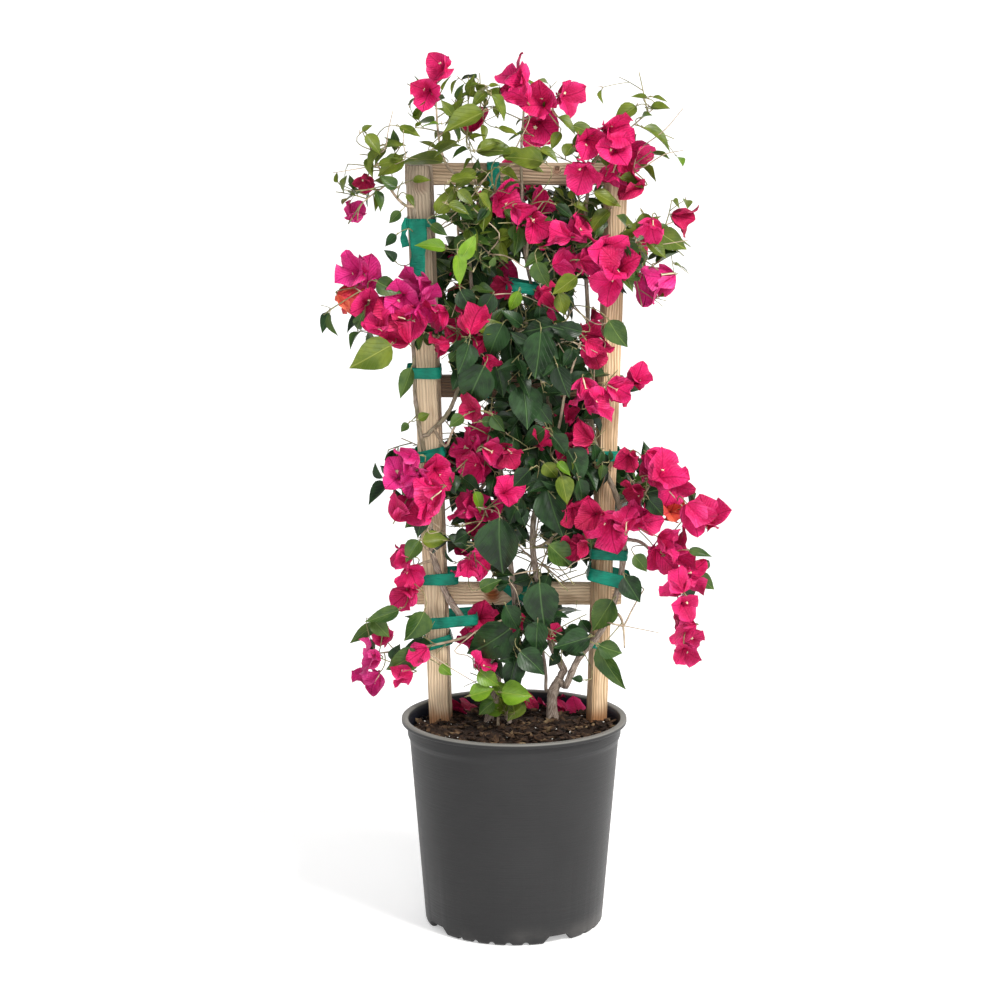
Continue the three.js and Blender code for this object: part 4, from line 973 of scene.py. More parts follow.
# %% Limbs
# Each limb: its foot in the mix, or the limb and height that it grows on and the way it sets off, the
# points it runs through, its radii at foot and tip, and how much its foot flares
LIMBS = {
    "trunk": {"foot": (49, 36), "via": [(47.5, 36, 270), (50, 36, 285), (58, 37, 301)],
        "radii": (7, 5.8), "flare": 4},
    "stem_left": {"foot": (-34, 30), "radii": (5, 3.3), "flare": 2,
        "via": [(-21, 30, 308), (-43, 22, 356), (-66, 13, 385), (-88, 8.5, 424), (-103, 8, 480),
        (-104, 9, 557)]},
    "stem_centre": {"foot": (-8, 26), "radii": (4, 1.9), "flare": 2,
        "via": [(-5, 30, 329), (1, 32, 400), (-7, 30, 465), (-17, 30, 570), (-20, 32, 680),
        (-23, 34, 790)]},
    "stem_middle": {"on": "trunk", "z": 301, "radii": (4.6, 2.2),
        "via": [(47, 38, 346), (31, 36, 419), (23, 33, 490), (41, 32, 580), (42, 32, 660),
        (24, 34, 778)]},
    "stem_thin": {"on": "trunk", "z": 283, "toward": (-1, 0, 0.6), "radii": (2.3, 1.5),
        "via": [(39, 35, 314), (33, 32, 366)]},
    "stem_right": {"on": "trunk", "z": 297, "toward": (1, -0.5, 0.6), "radii": (4.2, 2.1),
        "via": [(81, 19, 331), (112, 9, 375), (133, 17, 440), (131, 16, 520), (97, 15, 612),
        (93, 30, 700), (86, 31, 860), (91, 27, 925)]},
    "limb_left_outer": {"on": "stem_left", "z": 557, "radii": (2.9, 1.9),
        "via": [(-119, 10, 640), (-124, 9, 755), (-121, 8, 900)]},
    "limb_left_inner": {"on": "limb_left_outer", "z": 612, "toward": (1, 0.1, 0.7), "radii": (2.6, 1.7),
        "via": [(-78, 15, 648), (-53, 27, 730), (-56, 25, 850), (-64, 20, 935)]},
    "limb_top": {"on": "stem_middle", "z": 778, "radii": (2, 1.6), "via": [(10, 26, 860), (8, 18, 975)]},
    "bough_arch_high": {"on": "stem_right", "z": 528, "toward": (1, -0.4, 0.4), "radii": (2.5, 1.7),
        "via": [(148, 6, 552), (166, 0, 561)]},
    "bough_arch_low": {"on": "stem_right", "z": 482, "toward": (1, -0.4, 0.1), "radii": (2.5, 1.7),
        "via": [(158, 4, 480), (180, -2, 460)]},
}


def start_on(limb, z, heading):
    """Where a shoot leaves a limb: square to its skin, on the side it heads for, or at its end."""
    t = np.linspace(0, 1, 401)
    above = limb["path"].at(t)[:, 2] >= z
    share = float(t[above][0]) if above.any() else 1.0
    along, centre = limb["path"].way(share), limb["path"].at(share)
    if share > 0.995:
        return centre, along
    way = square_to(np.asarray(heading, float), along)
    return centre + way * limb["radius"](share) * 0.6, way


FOOT_DEPTH, FLARE_LENGTH = 6, 9
limbs = {}
for name, row in LIMBS.items():
    via = np.array(row["via"], float)
    if "foot" in row:
        neck, first = [], [*row["foot"], SOIL_TOP - FOOT_DEPTH]
    else:
        host = limbs[row["on"]]
        start, way = start_on(host, row["z"], row.get("toward", via[0] - host["path"].at(1.0)))
        neck, first = [start], start + way * 2.5 * row["radii"][0]
    path = Path(np.concatenate([np.array(neck).reshape(-1, 3), smooth_curve([first, *via])]))
    wide, thin = row["radii"]
    flare = row.get("flare", 0)
    fade = path.length / FLARE_LENGTH
    limbs[name] = {
        "path": path,
        "radius": lambda t, w=wide, n=thin, f=flare, fade=fade: w + (n - w) * t + f * np.exp(-t * fade),
    }
print("limbs", {name: round(limb["path"].length) for name, limb in limbs.items()})

# %% [markdown]
# ## Bark
#
# Bark that is only a bump map keeps a smooth outline. Here each ring's
# radius goes in and out by ripples drawn out along the limb, and swells at
# joints, so the outline is knotty too. Fine splits are left to the finish.

# %% Limb surfaces
def tube_grid(path, radii, sides, relief=None):
    """Rings along a path: their two directions are square to it and keep to one fixed way."""
    way = unit(np.gradient(path, axis=0))
    trend = unit(path[-1] - path[0])
    fixed = np.array([1.0, 0, 0]) if abs(trend[2]) > 0.6 else np.array([0, 0, 1.0])
    side = unit(fixed - (way @ fixed)[:, None] * way)
    other = np.cross(way, side)
    turn = np.linspace(0, 2 * np.pi, sides, endpoint=False)
    out = side[:, None] * np.cos(turn)[None, :, None] + other[:, None] * np.sin(turn)[None, :, None]
    size = np.asarray(radii, float)[:, None] * np.ones(sides)
    if relief is not None:
        size = size * (1 + relief(path[:, None] + out * size[..., None]))
    return path[:, None] + out * size[..., None]


STOUT = 4
JOINTS = {"apart": (26, 52), "swell": 0.13, "half": 3.2}


def limb_surface(limb, seed):
    """The bark: ripples along the limb, a swollen joint every 40 mm or so, and a foot with ribs."""
    path = limb["path"]
    rings = max(12, int(path.length / 2.2))
    t = np.linspace(0, 1, rings)
    radii = limb["radius"](t)
    joints = np.cumsum(np.random.default_rng(seed).uniform(*JOINTS["apart"], 40))
    from_joint = np.abs(t[:, None] * path.length - joints[None]).min(1)
    radii = radii * (1 + JOINTS["swell"] * np.exp(-(from_joint / JOINTS["half"]) ** 2))
    points = path.at(t)
    points = points + np.stack([ripple(points, 40, seed + 1), ripple(points, 40, seed + 2), 0 * t], -1) * 0.5

    def relief(skin):
        return 0.07 * ripple(skin * [1, 1, 0.3], 4.5, seed + 3) + 0.04 * ripple(skin, 2.4, seed + 4)

    sides = 20 if radii[0] > STOUT else 12
    grid = tube_grid(points, radii, sides, relief)
    around = np.linspace(0, 1, sides, endpoint=False)[None] * 2 * np.pi * radii[:, None]
    uv = np.stack([around, np.repeat(t[:, None] * path.length, sides, 1)], -1).reshape(-1, 2)
    body, faces = closed_tube(grid)
    return body, faces, np.concatenate([uv, [[0, 0], [0, path.length]]])


def bark_material():
    """Grey-tan bark, split along the stem, with a green cast where the stem is young."""
    bark = Finish("bark", roughness=0.85, specular=0.25)
    place = bark.place()
    around, along = bark.uv()
    split = bark.noise(bark.join(around * 0.9, along * 0.11), 1.0, 4.0, 0.6)
    patch = bark.noise(place, 45.0, 3.0)
    shade = bark.blend(bark.step(split, 0.35, 0.65), (0.15, 0.105, 0.08), (0.50, 0.405, 0.335))
    shade = bark.blend(bark.step(patch, 0.5, 0.72) * 0.5, shade, (0.30, 0.25, 0.20))
    _, _, z = bark.split(place)
    green = bark.step(z, 0.40, 0.62) * bark.step(patch, 0.3, 0.6)
    bark.set("Base Color", bark.blend(green * 0.45, shade, (0.16, 0.165, 0.06)))
    return bark.relief(split + 0.4 * patch, 0.0012)


bark = bark_material()
for number, (name, limb) in enumerate(limbs.items()):
    body, faces, flat = limb_surface(limb, 300 + 11 * number)
    dress(put_mesh(name + "_bark", body, facing_out(body, faces), flat), bark, "bark", name)

# %% [markdown]
# ## Where each mass of leaves grows
#
# A mass has a stem on a limb, which forks to a few tips, and a reach: an
# egg shape round its middle. The same table made the solids, so the finer
# twigs here keep to the same crown and leave its gaps open. The last number
# of a tip is how many flower heads it carries.

# %% Masses
# Each mass: the limb it grows on, or its x and y in the mix, and the height there; the middle and half
# sizes of its reach; side twigs on a fork; how leafy it is; the size of its leaves; and its tips
MASSES = {
    "foot_shoot": ((-20, 7), None, (-18, 4, 298), (42, 34, 40), 3, 0.3, 0.7, [(-20, 2, 318, 0)]),
    "left_low": ("stem_left", 366, (-150, 0, 345), (62, 48, 66), 2, 0.15, 0.72,
        [(-172, -16, 345, 3), (-141, -18, 322, 1)]),
    "centre_low": ("stem_thin", 366, (12, 2, 362), (98, 56, 50), 3, 0.6, 0.76,
        [(-48, -8, 371, 1), (78, -10, 358, 0), (10, -22, 372, 0)]),
    "left_middle_low": ("stem_left", 458, (-134, 4, 447), (42, 46, 50), 2, 0.14, 0.7, [(-138, -8, 440, 3)]),
    "centre_lower_left": ("stem_centre", 480, (-38, 0, 495), (56, 56, 66), 3, 0.6, 0.66,
        [(-36, -24, 527, 3), (-52, -16, 470, 2)]),
    "centre_lower_right": ("stem_middle", 470, (42, 0, 478), (62, 56, 68), 3, 0.52, 0.7,
        [(66, -18, 512, 2), (32, -20, 452, 0)]),
    "right_arch_high": ("bough_arch_high", 561, (172, -4, 540), (88, 56, 62), 1, 0.14, 0.72,
        [(174, -6, 568, 3), (214, 0, 518, 3), (142, -20, 510, 3)]),
    "right_arch_low": ("bough_arch_low", 500, (200, -2, 412), (46, 46, 70), 1, 0.08, 0.65,
        [(196, -6, 462, 3), (209, 0, 414, 3), (214, 4, 372, 2)]),
    "right_low": ("stem_right", 392, (138, 0, 372), (40, 44, 62), 3, 0.16, 0.85,
        [(136, -16, 352, 0), (160, -6, 424, 0)]),
    "left_middle": ("stem_left", 535, (-122, -8, 548), (50, 50, 54), 2, 0.16, 0.7,
        [(-124, -20, 552, 6), (-100, -18, 520, 0)]),
    "centre_middle_left": ("stem_centre", 600, (-40, 0, 606), (54, 56, 56), 3, 0.55, 0.62,
        [(-46, -22, 598, 3), (-24, -20, 642, 0)]),
    "centre_middle_right": ("stem_middle", 592, (52, 0, 596), (54, 56, 62), 3, 0.54, 0.66,
        [(48, -20, 612, 1), (78, -10, 566, 0), (26, -18, 560, 0)]),
    "right_middle": ("stem_right", 660, (112, -2, 672), (52, 50, 44), 2, 0.15, 0.75,
        [(96, -16, 676, 3), (134, -14, 684, 2)]),
    "centre_upper": ("stem_middle", 706, (22, -2, 722), (66, 58, 72), 3, 0.68, 0.64,
        [(42, -20, 720, 0), (-2, -22, 752, 0), (72, -18, 776, 0)]),
    "left_upper": ("limb_left_outer", 735, (-158, -2, 768), (64, 50, 58), 2, 0.2, 0.7,
        [(-122, -22, 776, 3), (-194, 0, 796, 3), (-166, -8, 732, 1)]),
    "left_upper_inner": ("limb_left_inner", 724, (-64, -2, 736), (48, 54, 60), 3, 0.7, 0.6,
        [(-70, -18, 748, 3), (-40, -16, 712, 0), (-34, -18, 776, 0)]),
    "left_top": ("limb_left_outer", 893, (-146, 4, 928), (58, 52, 66), 3, 0.24, 0.56,
        [(-172, -4, 962, 0), (-186, -4, 896, 2)]),
    "crown_left": ("limb_left_inner", 933, (-76, 6, 1012), (48, 54, 66), 3, 0.32, 0.58,
        [(-94, -2, 1040, 2), (-56, -10, 992, 1), (-36, -8, 1012, 0)]),
    "crown_middle": ("limb_top", 973, (24, 8, 1006), (62, 56, 66), 3, 0.15, 0.6,
        [(12, -2, 1034, 3), (46, -4, 1010, 3)]),
    "crown_right": ("stem_right", 922, (132, 4, 978), (84, 58, 74), 2, 0.16, 0.58,
        [(112, -12, 966, 4), (142, -8, 938, 2), (166, 6, 1010, 0)]),
    "right_upper": ("stem_right", 822, (154, -2, 838), (76, 52, 60), 2, 0.3, 0.66,
        [(116, -20, 836, 2), (192, -2, 876, 3), (166, -8, 812, 2)]),
    "centre_top": ("limb_top", 832, (40, -2, 872), (66, 54, 62), 2, 0.7, 0.58,
        [(16, -20, 896, 3), (70, -20, 868, 3), (66, -16, 828, 0)]),
    "left_top_inner": ("limb_left_inner", 850, (-54, -2, 868), (56, 54, 74), 3, 0.75, 0.54,
        [(-66, -14, 896, 0), (-30, -14, 838, 0), (-24, -16, 912, 0)]),
    "back_low": ("stem_middle", 440, (24, 116, 440), (72, 52, 80), 3, 0.62, 0.82, [(16, 118, 446, 3)]),
    "back_left": ("stem_centre", 530, (-100, 110, 556), (60, 52, 74), 3, 0.66, 0.78, [(-74, 112, 552, 3)]),
    "back_right": ("stem_right", 640, (118, 112, 560), (66, 52, 84), 3, 0.66, 0.78, [(84, 112, 600, 4)]),
    "back_middle": ("stem_middle", 630, (10, 114, 620), (70, 54, 84), 4, 0.62, 0.82, [(8, 116, 608, 3)]),
    "back_upper": ("stem_centre", 770, (-34, 112, 800), (84, 52, 84), 4, 0.66, 0.78, [(-44, 112, 806, 4)]),
    "back_top": ("stem_right", 800, (66, 106, 868), (88, 52, 84), 4, 0.66, 0.76, [(60, 110, 850, 4)]),
}
print("masses in the table", len(MASSES))

# %% Forks
PLANT_AXIS = np.array([10.0, 42.0])
UP = np.array([0.0, 0.0, 1.0])
GOLDEN = math.pi * (3 - math.sqrt(5))
REACH = 1.7
# More tips for the masses at the back, as shares of the half sizes, with their flower heads
BACK_TIPS = [(-0.7, -0.2, 0.55, 1), (0.7, -0.2, -0.5, 1), (0.15, -0.4, 0.95, 1), (-0.2, -0.2, -0.95, 0)]


def values_of(some, key):
    """One value of each thing, as an array."""
    return np.array([thing[key] for thing in some])


def fork_path(start, way, neck, tip):
    """Straight for a short neck, then a curve to the tip, bent by a point ahead and above."""
    free = start + way * neck
    reach = np.linalg.norm(tip - free)
    bend = free + way * 0.25 * reach + UP * 0.08 * reach
    return Path(np.concatenate([[start], bent(free, bend, tip, np.linspace(0, 1, 14)[:, None])]))


def back_tips(middle, half):
    """The tips of BACK_TIPS in millimetres."""
    return [(*(np.array(middle) + np.array(half) * tip[:3]), tip[3]) for tip in BACK_TIPS]


def forks_of(on, z, tips):
    """The first fork runs from the limb to the first tip; the others leave it halfway, turned off it."""
    tips = np.array([tip[:3] for tip in tips], float)
    if isinstance(on, str):
        level = np.array([*PLANT_AXIS, tips[0][2]])
        heading = np.array([0, 1, 0.1]) if tips[0][1] > 90 else tips[0] - level
        start, way = start_on(limbs[on], z, heading)
    else:
        start, way = np.array([*on, SOIL_TOP - 3.0]), UP
    forks = [fork_path(start, way, 6, tips[0])]
    for tip in tips[1:]:
        along, root = forks[0].way(0.5), forks[0].at(0.5)
        way = unit(tip - root)
        way = unit(way - 1.2 * max(0.0, way @ along - 0.5) * along)
        forks.append(fork_path(root, way, 12, tip))
    return forks


masses = []
for number, (name, (on, z, middle, half, shoots, leafy, leaf_scale, tips)) in enumerate(MASSES.items()):
    if name.startswith("back_"):
        tips = tips + back_tips(middle, half)
    masses.append({
        "name": name, "seed": 101 + 17 * number, "middle": np.array(middle, float),
        "half": np.array(half, float), "weight": float(np.prod(half)) ** (2 / 3), "shoots": shoots,
        "leafy": leafy, "leaf_scale": leaf_scale, "blooms": [tip[3] for tip in tips],
        "forks": forks_of(on, z, tips),
    })
middles, weights = values_of(masses, "middle"), values_of(masses, "weight")
print("masses", len(masses), "forks", sum(len(mass["forks"]) for mass in masses))

# %% [markdown]
# ## What shows at the front
#
# Some things make this plant and no other: groups of flower heads, the big
# leaves in front, bare twigs, and gaps where wood, tape or daylight shows.
# They are measured on the plane y = 0 as the camera sees it, and the rest
# grows round them.

# %% Flower groups
# Those of each mass: middle x and z, half sizes, number of heads, tone (r, crimson, is painted shade)
FLOWER_GROUPS = {
    "crown_left": [(-87, 1060, 9, 9, 1, "m"), (-104, 1031, 9, 9, 1, "m"), (-52, 998, 12, 10, 1, "r")],
    "crown_middle": [(4, 1039, 11, 12, 2, "m"), (31, 1005, 20, 15, 2, "m"), (61, 1025, 7, 10, 1, "m")],
    "crown_right": [(102, 979, 24, 11, 2, "m"), (133, 960, 16, 18, 2, "m"), (102, 936, 24, 11, 2, "m"),
        (142, 922, 11, 11, 1, "r")],
    "right_upper": [(200, 881, 10, 7, 1, "r"), (163, 870, 10, 7, 1, "m"), (111, 845, 7, 12, 1, "m"),
        (120, 813, 12, 15, 2, "m"), (170, 807, 12, 12, 2, "p")],
    "left_top": [(-178, 925, 4, 4, 1, "r"), (-194, 886, 5, 5, 1, "p")],
    "centre_top": [(-3, 893, 20, 15, 2, "m"), (30, 886, 17, 17, 2, "m"), (66, 864, 15, 12, 2, "m"),
        (74, 829, 17, 12, 2, "m")],
    "left_upper": [(-185, 812, 10, 11, 2, "p"), (-204, 786, 10, 9, 1, "o"), (-177, 778, 5, 7, 1, "m"),
        (-120, 788, 20, 15, 3, "p"), (-107, 763, 17, 11, 2, "m"), (-164, 752, 5, 5, 1, "m"),
        (-140, 750, 9, 12, 2, "r")],
    "left_upper_inner": [(-61, 752, 13, 10, 2, "r"), (-89, 727, 5, 6, 1, "r"), (-41, 729, 6, 9, 1, "r"),
        (-31, 707, 4, 4, 1, "r")],
    "right_middle": [(92, 665, 20, 12, 2, "m"), (125, 675, 10, 9, 1, "m"), (149, 686, 7, 7, 1, "m")],
    "centre_middle_left": [(-49, 612, 20, 11, 2, "m"), (-25, 598, 12, 10, 1, "m"),
        (-43, 578, 15, 9, 1, "m"), (-52, 648, 4, 6, 1, "r"), (-7, 593, 5, 5, 1, "r")],
    "left_middle": [(-130, 574, 17, 17, 3, "p"), (-98, 559, 15, 17, 2, "m"), (-126, 523, 17, 10, 2, "m")],
    "centre_lower_left": [(-10, 548, 11, 6, 1, "m"), (-45, 525, 17, 10, 2, "m"), (-42, 482, 10, 20, 2, "m"),
        (-58, 452, 6, 7, 1, "m")],
    "left_middle_low": [(-136, 467, 7, 6, 1, "m"), (-130, 433, 10, 18, 2, "m")],
    "centre_lower_right": [(86, 521, 13, 12, 2, "r"), (78, 480, 10, 11, 1, "r"), (46, 369, 5, 4, 1, "r")],
    "right_arch_high": [(125, 509, 11, 17, 2, "m"), (152, 512, 12, 17, 2, "m"), (168, 580, 15, 11, 2, "m"),
        (188, 561, 11, 15, 2, "m"), (139, 591, 5, 5, 1, "r"), (149, 546, 6, 7, 1, "r"),
        (193, 524, 11, 5, 1, "o"), (228, 518, 12, 9, 2, "m"), (189, 477, 18, 13, 3, "m")],
    "right_arch_low": [(208, 437, 10, 13, 2, "m"), (209, 406, 6, 7, 1, "m"), (212, 371, 13, 10, 2, "m"),
        (210, 348, 6, 6, 1, "m")],
    "left_low": [(-177, 339, 9, 7, 1, "p"), (-174, 313, 10, 7, 1, "p"), (-161, 365, 5, 7, 1, "m"),
        (-137, 318, 4, 11, 1, "m"), (-115, 347, 5, 5, 1, "m")],
    "centre_low": [(-42, 390, 10, 6, 1, "r"), (-55, 362, 6, 5, 1, "m"), (-40, 333, 6, 4, 1, "m"),
        (5, 386, 5, 5, 1, "r")],
    "centre_middle_right": [(75, 611, 12, 11, 2, "r"), (63, 639, 4, 4, 1, "r"), (32, 611, 5, 5, 1, "r")],
    "centre_upper": [(94, 732, 5, 16, 2, "r"), (34, 791, 4, 4, 1, "r"), (-12, 801, 4, 4, 1, "r")],
}
print("flower groups", sum(len(groups) for groups in FLOWER_GROUPS.values()))

# %% Front leaves
# Each one: foot x and z, tip x and z, tone (dark, green, bright, young, slender green)
FRONT_LEAVES = [
    (-182, 984, -170, 992, "b"), (-177, 981, -159, 959, "b"), (-159, 962, -183, 936, "g"),
    (-156, 968, -131, 974, "g"), (-138, 990, -112, 979, "b"), (-134, 953, -164, 932, "g"),
    (-85, 948, -142, 958, "g"), (-69, 972, -99, 962, "g"), (-37, 1007, -86, 985, "b"),
    (-46, 960, 4, 967, "g"), (-33, 1031, -53, 1014, "b"), (-28, 1027, -8, 999, "b"),
    (-31, 1038, -18, 1040, "b"), (-44, 1040, -56, 1037, "b"), (-20, 988, 6, 984, "g"),
    (34, 948, -10, 958, "g"), (51, 1001, 74, 981, "b"), (69, 991, 99, 981, "b"), (145, 1014, 115, 994, "b"),
    (158, 1023, 138, 1026, "b"), (164, 1025, 183, 1023, "b"), (162, 1013, 186, 1013, "b"),
    (153, 988, 191, 966, "g"), (95, 912, 129, 896, "g"), (114, 890, 86, 866, "b"),
    (171, 866, 207, 842, "b"), (159, 855, 183, 834, "b"), (153, 887, 165, 859, "b"),
    (118, 836, 150, 797, "g"), (75, 811, 44, 791, "b"), (53, 791, 63, 762, "b"), (5, 794, -6, 765, "y"),
    (-43, 745, -16, 758, "b"), (-26, 790, -44, 758, "d"), (32, 745, 25, 687, "d"),
    (-14, 754, -33, 711, "d"), (-55, 730, -66, 693, "d"), (-36, 703, -65, 645, "d"),
    (114, 758, 137, 724, "g"), (-149, 728, -200, 703, "b"), (-166, 805, -137, 791, "g"),
    (-65, 831, -46, 862, "y"), (-69, 838, -62, 801, "y"), (-83, 844, -119, 852, "y"),
    (-69, 917, -94, 886, "g"), (-46, 937, -76, 917, "g"), (-31, 915, -42, 889, "g"),
    (49, 897, 72, 881, "d"), (126, 929, 157, 920, "g"), (70, 897, 90, 889, "g"), (26, 829, 38, 795, "g"),
    (10, 679, 16, 625, "d"), (105, 656, 83, 636, "d"), (64, 600, 87, 559, "d"), (52, 584, 70, 570, "y"),
    (57, 568, 67, 533, "b"), (40, 552, 59, 491, "d"), (78, 563, 87, 531, "d"), (8, 541, -8, 506, "d"),
    (-18, 516, -16, 440, "d"), (-49, 548, -38, 522, "y"), (-113, 486, -80, 489, "b"),
    (-57, 496, -75, 486, "d"), (42, 482, 72, 452, "g"), (121, 413, 96, 372, "g"), (93, 366, 48, 357, "d"),
    (29, 386, 26, 347, "d"), (-3, 378, -61, 338, "d"), (31, 435, 39, 372, "d"), (2, 338, -7, 297, "d"),
    (7, 348, 38, 320, "d"), (-44, 323, -18, 306, "y"), (-16, 295, 22, 293, "y"), (-55, 291, -25, 300, "y"),
    (-25, 284, -44, 267, "g"), (135, 442, 155, 410, "d"), (147, 469, 164, 449, "g"),
    (104, 356, 135, 343, "g"), (103, 353, 137, 297, "s"), (214, 475, 242, 471, "s"),
    (85, 311, 71, 314, "d"), (-142, 400, -185, 388, "s"), (-170, 383, -204, 358, "s"),
    (-175, 388, -153, 367, "g"), (-111, 398, -132, 359, "g"), (-119, 347, -158, 324, "g"),
    (-125, 700, -140, 663, "s"), (-129, 632, -139, 622, "g"), (-117, 637, -103, 644, "b"),
    (-135, 479, -146, 464, "g"), (-116, 487, -134, 461, "g"), (-92, 330, -77, 318, "y"),
    (-11, 406, 7, 371, "d"), (67, 680, 91, 696, "d"), (37, 625, 7, 606, "d"), (19, 575, -3, 553, "d"),
    (-42, 426, -18, 439, "g"), (56, 344, 42, 328, "d"), (-96, 963, -65, 972, "b"),
    (-77, 925, -46, 936, "g"), (-94, 887, -73, 918, "b"), (-68, 915, -49, 896, "g"),
    (-44, 910, -27, 890, "b"), (-122, 926, -101, 929, "g"), (-130, 909, -119, 895, "g"),
    (-163, 944, -137, 954, "b"), (-15, 955, 16, 961, "b"), (-18, 941, 6, 929, "g"),
    (-80, 897, -54, 887, "g"), (-41, 963, -18, 974, "b"), (6, 945, 36, 939, "g"),
    (-154, 963, -170, 947, "g"), (-137, 889, -152, 875, "g"), (30, 963, 54, 953, "b"),
    (-101, 873, -80, 861, "g"), (-142, 861, -157, 848, "d"), (-144, 829, -157, 844, "d"),
    (48, 752, 10, 742, "d"), (82, 744, 56, 751, "d"), (-22, 702, -12, 664, "d"), (52, 702, 64, 664, "d"),
    (28, 656, 46, 630, "d"), (-62, 641, -80, 628, "g"), (-27, 642, -12, 622, "g"),
    (-40, 634, -20, 637, "g"), (46, 617, 65, 592, "d"), (36, 583, 53, 562, "b"), (72, 583, 57, 569, "b"),
    (-66, 795, -48, 766, "d"), (4, 526, 16, 504, "d"),
]
print("front leaves", len(FRONT_LEAVES))

# %% Bare twigs and clearings
# Each bare twig: three points x and z
BARE_TWIGS = [
    ((-18, 936), (18, 953), (42, 974)), ((-155, 946), (-182, 941), (-218, 935)),
    ((-156, 962), (-151, 986), (-145, 1010)), ((-132, 951), (-133, 968), (-133, 986)),
    ((156, 943), (179, 957), (202, 962)), ((149, 962), (179, 986), (201, 1012)),
    ((148, 848), (180, 850), (210, 855)), ((-9, 835), (12, 822), (34, 813)),
    ((-33, 787), (6, 789), (50, 769)), ((11, 755), (40, 747), (63, 714)),
    ((51, 735), (79, 729), (101, 718)), ((97, 754), (115, 755), (133, 755)),
    ((-74, 348), (-55, 341), (-42, 323)), ((-48, 529), (-24, 524), (-15, 514)),
    ((115, 384), (155, 376), (179, 371)), ((-115, 504), (-103, 510), (-91, 503)),
    ((-109, 489), (-101, 479), (-94, 473)), ((-96, 865), (-60, 897), (-30, 936)),
    ((-18, 861), (-42, 885), (-71, 915)), ((0, 962), (18, 1000), (9, 1007)),
    ((-108, 346), (-76, 325), (-38, 302)), ((-6, 442), (2, 424), (8, 400)),
    ((-4, 738), (6, 744), (17, 749)), ((56, 731), (72, 731), (90, 716)),
    ((98, 706), (110, 728), (103, 737)), ((30, 800), (44, 792), (52, 776)),
    ((-106, 504), (-104, 496), (-92, 498)), ((-112, 484), (-102, 472), (-94, 464)),
    ((60, 450), (74, 460), (92, 466)), ((-73, 790), (-70, 782), (-76, 762)),
]
# Stout shoots that show in front of the leaves
BARE_STEMS = [((44, 590), (55, 632), (62, 672), (80, 732)), ((-84, 604), (-76, 622), (-64, 644)),
              ((-24, 700), (-30, 690), (-36, 676))]
# Clearings, where wood, tape, stems or daylight shows: left, right, bottom, top
CLEARINGS = np.array([
    (98, 138, 759, 793), (104, 138, 693, 721), (72, 104, 742, 808), (102, 133, 597, 654),
    (92, 127, 264, 338), (93, 133, 409, 475), (-134, -103, 884, 942), (-131, -102, 798, 884),
    (-127, -83, 689, 718), (-126, -81, 590, 686), (-101, -78, 492, 542), (-104, -77, 434, 460),
    (-112, -72, 261, 428), (-72, -28, 400, 436), (52, 96, 400, 436), (-126, -104, 400, 436),
    (-76, -57, 619, 661), (-81, -60, 356, 397), (-73, -45, 295, 352), (139, 250, 700, 790),
    (137, 252, 604, 659), (133, 192, 267, 404), (32, 107, 264, 338), (39, 94, 436, 457),
    (-225, -145, 602, 698), (-227, -154, 394, 510), (-223, -146, 827, 858), (212, 248, 902, 1021),
    (212, 252, 609, 846), (-18, 7, 803, 825), (37, 55, 752, 782), (-18, 7, 560, 582), (0, 19, 441, 478),
    (40, 100, 921, 946), (-99, -76, 664, 688), (-220, -138, 1000, 1115), (72, 246, 1035, 1115),
    (-137, -113, 1056, 1115), (-65, -18, 1049, 1115), (178, 252, 591, 602), (-160, -144, 381, 394),
    (-59, -30, 624, 659), (-100, -81, 846, 875), (164, 227, 609, 769), (-9, 26, 786, 806),
    (129, 155, 599, 662), (122, 161, 356, 405), (-42, -29, 638, 661), (-130, -110, 286, 320),
    (134, 157, 763, 793), (144, 158, 687, 747), (-145, -131, 671, 697), (-147, -124, 475, 501),
    (-146, -125, 590, 620), (-81, -66, 573, 588), (-80, -65, 458, 473), (-84, -69, 786, 801),
    (56, 71, 372, 387), (15, 40, 298, 321), (133, 150, 345, 419), (-80, -66, 515, 528),
    (129, 158, 601, 664), (-146, -125, 592, 623), (54, 97, 434, 448), (36, 60, 442, 458),
    (42, 69, 946, 959), (73, 87, 442, 458), (-81, -62, 490, 503), (41, 58, 772, 785),
    (-146, -134, 877, 902), (-148, -134, 588, 649), (118, 131, 283, 318), (14, 37, 436, 525),
    (-61, -49, 698, 711), (84, 96, 620, 632), (-69, -57, 854, 866), (-91, -77, 701, 713),
], float)
print("bare twigs", len(BARE_TWIGS), "bare stems", len(BARE_STEMS), "clearings", len(CLEARINGS))


# %% As the camera sees it
def seen_at(p):
    """Where points show on the photo's plane y = 0: each is moved along its line to the eye."""
    share = -EYE[1] / (p[..., 1] - EYE[1])
    return np.stack([EYE[0] + (p[..., 0] - EYE[0]) * share, EYE[2] + (p[..., 2] - EYE[2]) * share], -1)


def at_depth(x, z, y, plane=-15.0):
    """The point at depth y that hides behind or before (x, z) on a plane, as the camera sees it."""
    share = (y - EYE[1]) / (plane - EYE[1])
    return np.array([EYE[0] + (x - EYE[0]) * share, y, EYE[2] + (z - EYE[2]) * share])


def in_clearing(p, inside=2.0):
    """True where a point shows in a clearing, further in than the inside distance."""
    x, z = seen_at(p).T
    left, right, bottom, top = CLEARINGS.T[:, :, None]
    return ((x > left + inside) & (x < right - inside) & (z > bottom + inside) & (z < top - inside)).any(0)


print("a point 60 mm before the plane shows at", seen_at(np.array([100.0, -60.0, 500.0])).round(1))

# %% [markdown]
# ## Room to grow
#
# A leaf is kept only where all its points have room: inside the mass's
# reach, not deep in a neighbour's space, clear of wood, tape, pot and stems.

